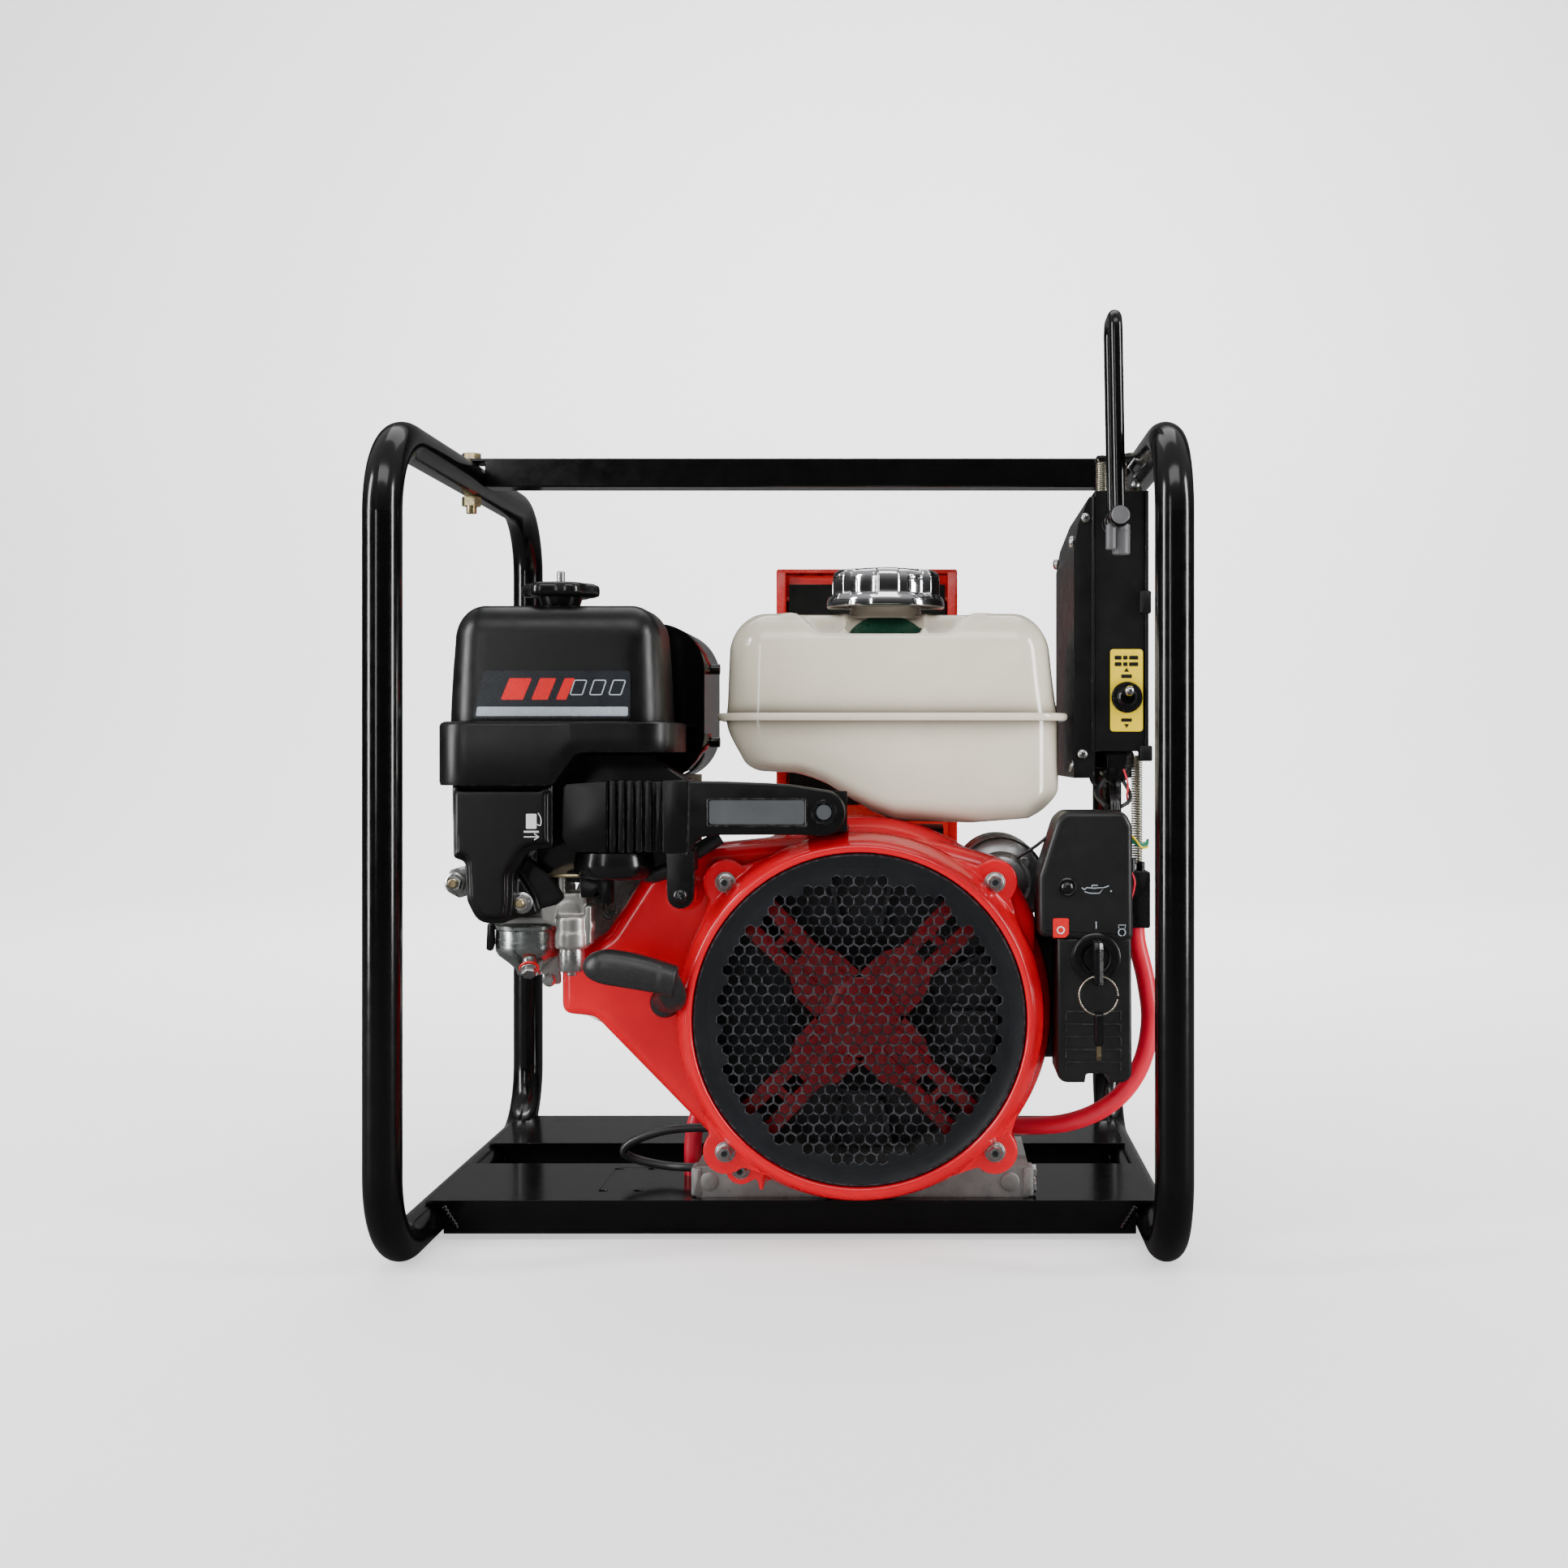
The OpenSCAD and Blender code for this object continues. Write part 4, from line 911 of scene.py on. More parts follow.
def cleaner_cover():
    """Tapering walls, a broad round shoulder and a low domed top."""
    levels = [(0.4, 360.5), (0.0, 361.6), (0.2, 370), (0.9, 385), (1.8, 400), (2.7, 411), (3.2, 418)]
    wall, shoulder = levels[-1]
    levels += [(wall + 20.2 * (1 - c), shoulder + 24.4 * s) for s, c in quarter(14)[1:]]
    outline = dense(round_rect(-229, -171, -82, -86, 24, 10), 5.0)
    rings = [[(x, y, z) for x, y in inset(outline, d)] for d, z in levels]
    last = rings[-1]
    cx, cy = (sum(p[i] for p in last) / len(last) for i in (0, 1))
    for f in (0.86, 0.68, 0.48, 0.28, 0.08):
        rings.append([(cx + (x - cx) * f, cy + (y - cy) * f, z + 0.9 * (1 - f * f)) for x, y, z in last])
    s = Shape()
    s.rings(rings)
    s.make("air_cleaner_cover_shell", "plastic_black", stands_for=("air_cleaner_cover",), sharp=50)


def cleaner_base():
    """The rim band of the base, cut up at the right where the carburettor sits."""
    b = Shape()
    outline = dense(round_rect(-234.5, -178, -75, -79, 22, 10), 2.0)
    top = 363.0

    def low(x):
        return lin(x, [(-158, 320.0), (-154, 321.0), (-139, 341.0), (-134, 342.4)])

    rings = []
    band = [(16, 1.0), (3.0, 1.0), (1.0, 0.975), (0.0, 0.93), (0.0, 0.5), (0.0, 0.06), (0.7, 0.0),
            (3.2, 0.0), (16, 0.0)]
    for d, up in band:
        rings.append([(x, y, low(x) + (top - low(x)) * up) for x, y in inset(outline, d)])
    edge = rings[-1]
    cx, cy = -150, -128
    for f in (0.7, 0.4, 0.05):
        rings.append([(cx + (x - cx) * f, cy + (y - cy) * f, low(cx + (x - cx) * f)) for x, y, z in edge])
    b.rings(rings, False, True)
    b.make("air_cleaner_base_shell", "plastic_black", stands_for=("air_cleaner_base",), sharp=38)


def cleaner_knob():
    """A six-lobed knob on the stud."""
    k = Shape()

    def wave(a, r, h):
        return r * (1 + 0.075 * math.cos(6 * a)) if r > 16 else r

    k.lathe((*KNOB_AT, 0), "z", [(13, 443.6), (14, 446), (15, 449.2), (22, 449.6), (24.6, 450.6),
                                 (25.1, 452.4), (25.1, 455.6), (24.3, 457.6), (21.5, 458.9), (15, 459.6),
                                 (9, 460.2), (5, 460.4), (3.3, 460.2)], 96, wave)
    k.make("air_cleaner_knob_shell", "plastic_smooth", body="cleaner_knob",
           stands_for=("air_cleaner_knob",), sharp=60)


def cleaner_label():
    """A printed panel: dark ground, pale stripe, slanted red bars and outlines."""
    y = -171.05
    t = Shape()
    plate = round_poly([(-209, 365), (-103, 365), (-103, 397), (-201, 397)], 2.2)
    t.prism(plate, "y", y + 0.6, y - 0.25)
    t.make("cleaner_label", "label_dark", sharp=30)
    t = Shape()
    stripe = [(-206.6, 366.6), (-104.6, 366.6), (-104.6, 372.8), (-205.6, 372.8)]
    t.prism(round_poly(stripe, 1.0), "y", y - 0.2, y - 0.4)
    t.make("cleaner_label_stripe", "label_pale")
    t = Shape()
    x = -190
    for w in (15, 11, 7):
        bar = [(x, 377.5), (x + w, 377.5), (x + w + 6, 392), (x + 6, 392)]
        t.prism(round_poly(bar, 0.8), "y", y - 0.2, y - 0.4)
        x += w + 5.5
    t.make("cleaner_label_bars", "label_red")
    t = Shape()
    for x in (-144, -131, -118):
        o = round_poly([(x, 380.5), (x + 9, 380.5), (x + 12.5, 391), (x + 3.5, 391)], 1.6)
        levels = ((0.0, 0.25), (0.0, 0.4), (0.8, 0.4), (0.8, 0.25))
        t.rings([lift(inset(o, d), "y", y - h) for d, h in levels], False, False)
    t.make("cleaner_label_outlines", "label_pale", sharp=30)


cleaner_cover()
cleaner_base()
cleaner_knob()
cleaner_label()


def elbow():
    s = Shape()
    out = round_poly([(-223.4, 321, 1), (-222.6, 271.4, 2), (-214.8, 268.5, 3), (-213.8, 243, 14),
                      (-206, 227, 14), (-184, 226.8, 8), (-182, 243, 4), (-182, 260, 12), (-172, 276, 10),
                      (-155.2, 277.6, 3), (-155.2, 321, 1)], 4, 6)
    s.prism(out, "y", -169.2, -139.4, 0.6)
    s.prism(inset(out, 4.5), "y", -173.2, -150)
    # web and ear that hold the carburettor nut
    s.prism(round_poly([(-183, 262), (-171, 243), (-168, 232), (-186, 229), (-190, 245)], 3), "y", -158,
            -141, 1.0)
    s.prism(round_poly([(-177, 272), (-158, 256), (-150, 243), (-156, 238), (-178, 232), (-184, 250)], 3),
            "y", -151, -141, 1.0)
    ob = s.make("intake_elbow_shell", "plastic_black", stands_for=("intake_elbow",), sharp=80)
    cast_blend(ob, 1.0, 12)

    n, t = Shape(), Shape()
    for x, z, y in ((-224.0, 253.6, -157), (-178.4, 240.2, -158.4)):
        n.hexhead((x, y, z), FRONT, 10, 6.0, 7.4, 0.3)
        t.disc_rod((x, y + 18, z), (x, y - 8.6, z), 3.0, 20, 0.6)
        for i in range(5):
            t.loop_lathe((x, y - 5.9 - i * 0.55, z), "y", [(2.9, -0.15), (3.15, 0), (2.9, 0.15)], 20)
    n.make("elbow_flange_nuts", "zinc", bevel=0.3)
    t.make("elbow_studs", "brass")
    n = Shape()
    ear = round_poly([(-229, 262), (-215, 266), (-213, 246), (-222, 243), (-231, 248)], 4)
    n.prism(ear, "y", -155, -151, 0.6)
    n.make("elbow_ear", "zinc")


def pump_icon():
    """A plain pump pictogram on the elbow."""
    i = Shape()
    y = -173.2
    i.prism(round_poly([(-172.5, 291), (-165.5, 291), (-165.5, 301), (-172.5, 301)], 0.8), "y", y + 0.2,
            y - 0.15)
    i.prism(round_poly([(-174, 288.4), (-164, 288.4), (-164, 289.6), (-174, 289.6)], 0.2), "y", y + 0.2,
            y - 0.15)
    i.tube([(-165.2, y, 294), (-162.8, y, 293.4), (-162.6, y, 298), (-164.4, y, 301.5)], 0.35, 6)
    i.tube([(-174, y, 285.6), (-164.5, y, 285.6)], 0.45, 6, straight=True)
    i.tube([(-167, y, 287.6), (-164, y, 285.6), (-167, y, 283.6)], 0.45, 6, straight=True)
    i.make("pump_icon", "label_white")


elbow()
pump_icon()


def arm_cover():
    s = Shape()
    y = -171.4
    # left block with chamfered end
    s.prism(round_poly([(-146.5, 321, 3), (-148.5, 318.5, 2), (-149, 285, 3), (-144, 275.5, 3),
                        (-118, 274.6, 1), (-118, 323, 1)], 2), "y", y, -146, 1.4)
    # five ribs with grooves between them, then a smooth pad
    s.block((-119, y + 6.0, 275.2), (-80, -146, 322.6), 0.8)
    for x in (-117.0, -111.0, -105.0, -99.0, -93.0):
        s.prism(round_rect(x, 274.8, x + 4.0, 323.4, 1.2, 3), "y", y, y + 8, 0.7)
    s.block((-86.5, y + 3.0, 275.2), (-82, -146, 322.6), 0.6)
    pad = [(-81.5, 274.2, 1.5), (-65.0, 274.2, 3), (-64.0, 300, 4), (-64.0, 323.6, 1.5), (-81.5, 323.6, 1.5)]
    s.prism(round_poly(pad, 2), "y", y - 0.6, -146, 1.2)
    # arm out to the tank bracket, ending in a round boss
    c = (27.0, 302.0)
    top = [(-66, 323.0), (-40, 322.6), (-12, 321.6), (4, 320.6)]
    end = arc(c[0] - 1, c[1] - 0.5, 15.5, 78, -92, 14)
    low = [(10, 286.8), (-46, 286.6), (-56, 285), (-61, 280), (-63, 273)]
    out = round_poly(top + end + low + [(-66, 273)], 3, 3)
    s.prism(out, "y", y, -160, 1.6, 3)
    # a shallow rim round the badge
    for z in (293.0, 310.6):
        s.tube([(-51, y - 0.1, z), (15, y - 0.1, z)], 0.6, 8, straight=True)
    for x in (-51, 15):
        s.tube([(x, y - 0.1, 293), (x, y - 0.1, 310.6)], 0.6, 8, straight=True)
    s.loop_lathe((c[0], y - 0.1, c[1]), "y", [(8.4, 0.6), (8.0, -0.9), (6.2, -0.9), (5.8, 0.6)], 40)
    # leg down to the blower housing
    leg = [(-79.0, 276), (-78.6, 250)] + arc(-69.5, 246, 8.9, 180, 360, 14) + [(-60.4, 250), (-60.0, 276)]
    s.prism(leg, "y", y + 0.4, -163.5, 1.2)
    s.block((-79, -163.6, 262), (-60, -150, 278), 0.8)
    s.make("intake_arm_shell", "plastic_black", stands_for=("intake_arm_cover",), sharp=36)

    # round air duct that shows under the block, and a black block behind it that fills the gaps with painted
    # shade
    d = Shape()
    d.lathe((-118, -146, 0), "z", [(20, 277), (26, 274), (27.5, 266), (26.5, 259), (23, 256),
                                   (12, 255.6)], 48)
    duct = [(-172, 341), (-172, 268), (-164, 254), (-134, 252), (-66, 262), (-66, 322), (-96, 341)]
    d.prism(round_poly(duct, 5), "y", -143.5, -116, 1.5)
    d.make("intake_duct", "plastic_smooth", slot="black_plastic", sharp=45)
    h = Shape()
    h.tube([(-104, -146, 262), (-92, -144, 258), (-78, -143, 263), (-62, -142.5, 274), (-46, -141, 284)],
           5.2, 18, per=8)
    h.make("breather_hose", "cable_black", slot="grip_rubber", sharp=60)
    p = Shape()
    p.lathe((-69.5, -172.2, 246), FRONT, [(5.2, -0.6), (5.0, 1.4), (3.6, 2.9), (1.5, 3.4), (0.4, 3.5)], 28)
    p.make("leg_screw_head", "plastic_smooth")
    c = Shape()
    c.cross(-69.5, -175.4, 246, 2.3, 0.45, 0.5)
    # a dark cross: painted shade in the screw's slot
    c.make("leg_screw_cross", "grille_black", slot="knob_plastic")


arm_cover()


# ---------------------------------------------------------------- blower housing, recoil ring and grille

def fan_shell():
    s = Shape()
    body = round_poly([(-157, 199, 6), (-157, 161, 8), (-134, 159, 10), (-51, 74, 20), (-20, 57, 10),
                       (121, 57, 10), (141, 77, 12), (171.5, 125, 14), (171.5, 228, 20), (150, 268, 16),
                       (104, 281, 20), (50, 286.5, 20), (-6, 283.5, 20), (-62, 278, 26), (-98, 261, 30),
                       (-126, 218, 14)], 10, 6)
    s.soft_front(body, -140, -108, 11, 13, 8)
    # swelling of the scroll on the left, towards the ring
    s.lathe((EX, -108, EZ), FRONT, [(126, 0), (126, 22), (124, 30), (121, 33)], 96)
    s.lathe((EX - 2, -108, EZ + 1), FRONT, [(136, 0), (134, 12), (129, 22), (120, 31)], 96)
    for x in (-LUG, LUG):
        for z in (-LUG, LUG):
            s.lathe((EX + x, -108, EZ + z), FRONT, [(15.5, 0), (15.5, 29), (14.5, 31.6)], 32)
            root = EZ + z - (10 if z > 0 else -10)
            web = [(EX + x - 13, root), (EX + x + 13, root), (EX + x * 0.62, EZ + z * 0.62)]
            s.prism(round_poly(web, 2), "y", -137, -109)
    s.lathe((-32, -109, 55), FRONT, [(11, 0), (11, 29), (10, 31)], 32)
    s.prism(round_poly([(-43, 56), (-30, 84), (-6, 66), (-24, 46)], 4), "y", -139, -109)
    # ridge that runs down from the upper left lug, and ribs at the lower left
    s.tube([(-44, -139.5, 250), (-52, -139.5, 226), (-58, -139.5, 200), (-70, -138, 180)], 1.7, 10, per=8)
    s.prism([(-20, 40), (-16.5, 40), (-14, 70), (-20, 72)], "y", -140, -112)
    s.prism(round_poly([(-46, 92), (-39, 90), (-34, 118), (-41, 122)], 2), "y", -141.5, -120)
    s.lathe((-69.5, -136, 246), FRONT, [(12, 0), (9, 10), (8.4, 27.4)], 32)
    # two short posts on top
    for x in (3, 15):
        s.lathe((x, -128, 276), "z", [(3.4, 0), (3.4, 15), (2.6, 16.4)], 20)
    ob = s.make("fan_housing_shell", "red", stands_for=("fan_housing",), sharp=80)
    cast_blend(ob, 1.7, 9)
    baked(ob)
    k = Shape()
    k.lathe((EX, -150, EZ), "y", [(107.5, 0), (107.5, 12), (114, 13), (114, 60)], 96)
    cut(ob, k, 50)
    # a dark plate and lining behind the fan: painted shade seen through the grille
    d = Shape()
    d.loop_lathe((EX, -104, EZ), "y", [(60, -1), (118, -1), (118, 1), (60, 1)], 64)
    d.loop_lathe((EX, 0, EZ), "y", [(113.4, -136), (113.4, -104), (112.2, -104), (112.2, -136)], 96)
    d.make("blower_backplate", "dark", sharp=30)


fan_shell()


def recoil_ring():
    s = Shape()
    prof = [(113.0, -140.6), (113.0, -163.6), (113.8, -165.2), (115.6, -166), (117.6, -165.4),
            (119.2, -163.4), (121.0, -160.6), (123.4, -156), (125.4, -150), (126.4, -144.6),
            (126.6, -140.6)]
    s.loop_lathe((EX, 0, EZ), "y", prof, 128)
    axis = Vector((EX, EZ))
    for x in (-LUG, LUG):
        for z in (-LUG, LUG):
            s.lathe((EX + x, -140.6, EZ + z), FRONT, [(16.0, 0), (15.8, 7.6), (15.0, 9.2), (2, 9.4)], 36)
            a = math.atan2(z, x)
            n = Vector((-math.sin(a), math.cos(a)))
            c = Vector((EX + x, EZ + z))
            m = axis + Vector((math.cos(a), math.sin(a))) * 118
            s.prism([tuple(c + n * 15.4), tuple(c - n * 15.4), tuple(m - n * 40), tuple(m + n * 40)],
                    "y", -149.2, -140.6)
    ob = s.make("recoil_ring_shell", "red", stands_for=("recoil_housing",), sharp=80)
    cast_blend(ob, 1.1, 5)

    # four arms of two bars each, with cross plates and a gusset at the root
    x = Shape()
    for a in (45, 135, 225, 315):
        d = polar(1, a)
        n = Vector((-d.y, d.x))
        for k in (-1, 1):
            c0 = axis + n * k * 8.6 + d * 24
            c1 = axis + n * k * 10.6 + d * 113
            bar = [c0 + n * 5, c0 - n * 5, c1 - n * 5.6, c1 + n * 5.6]
            x.prism([tuple(p) for p in bar], "y", -152, -147, 1.0)
        for r in (74, 104):
            c = axis + d * r
            plate = [c + n * 9 + d * 3, c - n * 9 + d * 3, c - n * 9 - d * 3, c + n * 9 - d * 3]
            x.prism([tuple(p) for p in plate], "y", -151.4, -147.6)
        gusset = [(8, 22), (8, -22), (42, -21), (58, -12), (58, 12), (42, 21)]
        x.prism([tuple(axis + d * p + n * q) for p, q in gusset], "y", -150.8, -147.4)
    x.lathe((EX, -147, EZ), FRONT, [(28, -2), (28, 3.4), (26, 4.8), (18, 5.4), (14, 5.8), (6, 5.8)], 64)
    x.lathe((EX, -127.4, EZ), FRONT, [(7.6, 0), (7.6, 18), (20, 19.6)], 32)
    # the spider takes the darker red: painted shade
    x.make("recoil_spider", "red_shaded", sharp=35)
    # a dark sheet in front of the rope, at the side of its guide, as painted shade inside the ring; and a
    # dark wall just inside the ring
    w = Shape()
    w.prism(arc(EX, EZ, 107, 140, 216, 19) + arc(EX, EZ, 50, 216, 140, 19), "y", -144.6, -143.2)
    w.loop_lathe((EX, 0, EZ), "y", [(112.8, -159.6), (112.8, -142), (111.2, -142), (111.2, -159.6)], 96)
    w.make("ring_inner_wall", "grille_black", sharp=35)


recoil_ring()


def housing_bolts():
    """Flanged bolts with washers at the four lugs, and a small one at the lower left."""
    b, w, d = Shape(), Shape(), Shape()
    lugs = [(EX + x, EZ + z, 1.0, -149.9) for z in (-LUG, LUG) for x in (-LUG, LUG)]
    for x, z, k, y in lugs + [(-32, 55, 0.92, -139.6)]:
        w.loop_lathe((x, y, z), FRONT, [(3, -0.4), (7.0 * k, -0.4), (7.1 * k, 0.9), (6.6 * k, 1.4),
                                        (3, 1.4)], 40)
        b.lathe((x, y - 1.3, z), FRONT, [(6.0 * k, 0), (5.9 * k, 0.9), (5.0 * k, 1.5), (2, 1.6)], 40)
        b.hexhead((x, y - 2.4, z), FRONT, 8.4 * k, 4.6, 0, x * 0.13)
        b.loop_lathe((x, y - 7.0, z), FRONT, [(1.9 * k, -0.6), (3.2 * k, -0.6), (3.1 * k, 0.5),
                                              (2.4 * k, 0.6)], 24)
        # a dark disc in each socket: painted shade for the hollow
        d.lathe((x, y - 6.9, z), FRONT, [(2.0 * k, -0.3), (2.0 * k, 0.2), (0.3, 0.2)], 20)
    w.make("housing_washers", "cast", slot="zinc", sharp=40)
    # the threaded stud of the air cleaner knob
    b.disc_rod((*KNOB_AT, 440), (*KNOB_AT, 468), 2.75, 20, 0.7)
    for i in range(9):
        b.loop_lathe((*KNOB_AT, 460.6 + i * 0.8), "z", [(2.7, -0.25), (3.0, 0), (2.7, 0.25)], 20)
    b.make("housing_bolt_heads", "zinc", stands_for=("housing_bolts",), sharp=32)
    d.make("housing_bolt_sockets", "dark", slot="zinc")


housing_bolts()


def grille():
    """Hexagon holes in staggered rows, one cell at a time; cells past a row's last hole are blank."""
    s = Shape()
    pitch, row_h, r_hole, r_mesh = 7.75, 6.7, 3.8, 106
    front, back = -163.4, -161.2
    holes_in_row = [25, 24, 25, 24, 23, 24, 23, 22, 21, 20, 17, 16, 15, 10, 5]
    rc = pitch / 2 / math.cos(math.radians(30))
    rcz = row_h * 2 / 3
    for row in range(-15, 16):
        for col in range(-14, 15):
            x = (col + 0.5 * (row % 2)) * pitch
            z = row * row_h
            if math.hypot(x, z) > r_mesh:
                continue
            inner, outer = [], []
            for k in range(6):
                a = math.radians(90 + 60 * k)
                inner.append((EX + x + r_hole * math.cos(a), EZ + z + r_hole * math.sin(a)))
                outer.append((EX + x + rc * math.cos(a), EZ + z + rcz * math.sin(a)))
            if abs(row) >= len(holes_in_row) or abs(x) > holes_in_row[abs(row)] * pitch / 2:
                s.add(lift(outer, "y", front), [[0, 1, 2, 3, 4, 5]])
                continue
            mid = [(a[0] * 0.86 + b[0] * 0.14, a[1] * 0.86 + b[1] * 0.14) for a, b in zip(inner, outer)]
            verts = (lift(outer, "y", front) + lift(mid, "y", front) + lift(inner, "y", front + 0.35)
                     + lift(inner, "y", back) + lift(outer, "y", back))
            faces = []
            for k in range(6):
                j = (k + 1) % 6
                for o in (0, 6, 12, 18):
                    faces.append([o + k, o + j, o + 6 + j, o + 6 + k])
            s.add(verts, faces)
    s.make("grille_mesh", "grille_black", stands_for=("fan_grille",), sharp=25, recalc=False)
    r = Shape()
    rim = [(101.6, -163.3), (103, -163.6), (108.6, -163.7), (110.0, -164.6), (111.4, -164.8), (112.4, -163.8),
           (112.6, -161.4), (101.6, -161.4)]
    r.loop_lathe((EX, 0, EZ), "y", rim, 128)
    r.make("grille_rim", "grille_black", sharp=40)


grille()


def grip():
    """A rubber bar, thickest near its round left end, and a sleeve that bends back to the rope guide."""
    a, b = Vector((-132.5, -184, 201.5)), Vector((-69.5, -184, 189.5))
    d = (b - a).normalized()
    up = Vector(FRONT)
    side = d.cross(up)
    s = Shape()
    rings = []
    n, seg = 44, 44
    for i in range(n + 1):
        t = i / n
        u = -1 + 2 * t
        r = 12.0 * math.sqrt(max(0.004, 1 - max(0.0, (-u - 0.30) / 0.70) ** 2.6))
        r *= 1 - 0.13 * smooth01((u + 0.1) / 1.1)
        r *= math.sqrt(max(0.02, 1 - max(0.0, (u - 0.93) / 0.07) ** 4))
        c = a + (b - a) * t - side * 1.8 * (1 - u * u)
        ring = []
        for j in range(seg):
            w = 2 * math.pi * j / seg
            # a long oval panel is pressed into the front
            cut = 1.0 * smooth01((math.cos(w) - 0.62) / 0.10) * smooth01((0.66 - abs(u)) / 0.05)
            ring.append(tuple(c + (up * math.cos(w) * 0.94 + side * math.sin(w)) * (r - cut)))
        rings.append(ring)
    s.rings(rings)
    route = [GUIDE + PULL * 2.0, GUIDE + PULL * 7 + Vector((4, 0, 0)),
             GUIDE + PULL * 15 + Vector((10, 0, -3)), (-75.0, -171.5, 180), (-77.5, -180, 190)]
    s.tube(route, lambda t: 6.8 + 2.6 * math.sin(math.pi * min(1, t * 1.3) / 2), 28, per=8)
    ob = s.make("grip_shell", "rubber", body="grip", stands_for=("starter_grip",), sharp=70)
    cast_blend(ob, 0.8, 4)


grip()


def pull_rope():
    """The cord between guide and grip, short as it is at rest."""
    s = Shape()
    a, b = GUIDE + Vector((0, 5, 0)), GUIDE + PULL * 4.0
    pts = [a + (GUIDE - a) * t / 4 for t in range(4)] + [GUIDE + (b - GUIDE) * t / 8 for t in range(9)]
    s.tube(pts, 1.9, 14, straight=True)
    return s.make("starter_rope_run", "rope", body=None, sharp=80)


rope = pull_rope()


def rope_guide():
    s = Shape()
    prof = [(2.7, -139.5), (2.7, -149), (3.6, -151.4), (5.2, -152), (8.0, -151.2), (8.6, -149), (8.8, -143),
            (10.4, -140.6), (10.4, -139.5)]
    s.loop_lathe((GUIDE.x, 0, GUIDE.z), "y", prof, 40)
    s.make("rope_guide_shell", "rubber", stands_for=("rope_guide",), sharp=45)


rope_guide()


def starter_motor():
    s = Shape()
    cx, cz = 148.5, 250
    prof = [(8, 0), (17, 0.4), (20, 3), (22, 8), (29, 11), (31.6, 14), (32, 18), (32, 96), (31.2, 100),
            (27, 103), (26.6, 112), (24, 115), (4, 115.6)]
    s.lathe((cx, -108, cz), "y", prof, 72)
    for y in (-94, -60, -26):
        s.loop_lathe((cx, y, cz), "y", [(31.6, -1.2), (32.5, -0.6), (32.5, 0.6), (31.6, 1.2)], 72)
    s.make("starter_motor_shell", "shell_grey", stands_for=("starter_motor",), sharp=40)
    b = Shape()
    for a in (40, 220):
        p = polar(22, a)
        b.hexhead((cx + p.x, -96.5, cz + p.y), FRONT, 7, 4.0, 5.0)
    b.make("starter_motor_bolts", "zinc", bevel=0.2)


starter_motor()


# ---------------------------------------------------------------- key switch box

def key_box():
    s = Shape()
    up = round_poly([(171.8, 217, 5), (171.8, 258, 10), (184, 296.5, 12), (190, 302, 8), (231, 302, 9),
                     (235.8, 292, 9), (236.2, 214.2, 6), (226, 213.6, 6)], 6, 6)
    s.soft_front(up, -157.2, -109, 4.6, 4.2, 6)
    x0, x1 = 184.6, 235.2
    low = ([(x0, 216), (x0 - 0.4, 135)] + arc(x0 + 7.4, 125, 7.6, 180, 270, 6)
           + [(203.6, 117.4), (204.4, 122.6), (206, 123.4), (217.6, 123.4), (219.2, 122.6), (220, 117.4)]
           + arc(x1 - 7.2, 125, 7.6, 270, 360, 6) + [(x1, 216)])
    s.soft_front(low, -155.4, -110, 2.8, 2.8, 5)
    s.make("key_box_shell", "plastic_key", stands_for=("key_box",), sharp=40)
    # shallow horizontal steps on the lower panel
    r = Shape()
    x0, x1, y = 190.5, 228, -155.5
    for i in range(5):
        z = 166 - i * 8.6
        r.tube([(x0, y, z), (x1, y, z)], 0.55, 8, straight=True)
        for x in (x0, x1):
            r.tube([(x, y, z), (x, y, z - 5.4)], 0.45, 8, straight=True)
    r.make("key_box_ribs", "plastic_key", sharp=50)
    k = Shape()
    bezel = [(9.2, -156), (9.2, -158.6), (10.4, -159.4), (15.2, -159.2), (16.8, -158.2), (17.4, -155)]
    k.loop_lathe((SWITCH_AT[0], 0, SWITCH_AT[1]), "y", bezel, 64)
    k.make("key_switch_bezel", "plastic_smooth", sharp=40)
    b = Shape()
    b.prism(round_rect(188, 262, 232, 298, 3, 4), "y", -108.5, -104, 0.8)
    b.block((162, -107.4, 127), (232, -105.4, 222), 0.6)
    b.make("key_box_backplate", "satin_black", sharp=35)
    lamp = Shape()
    prof = [(6.8, -1), (6.6, 0.7), (5.6, 1.2), (5.0, 0.5), (4.4, 0.4), (3.4, 1.5), (1.6, 2.4), (0.3, 2.6)]
    lamp.lathe((191.4, -157.3, 250.5), FRONT, prof, 40)
    lamp.make("warning_lamp", "plastic_smooth", sharp=50)


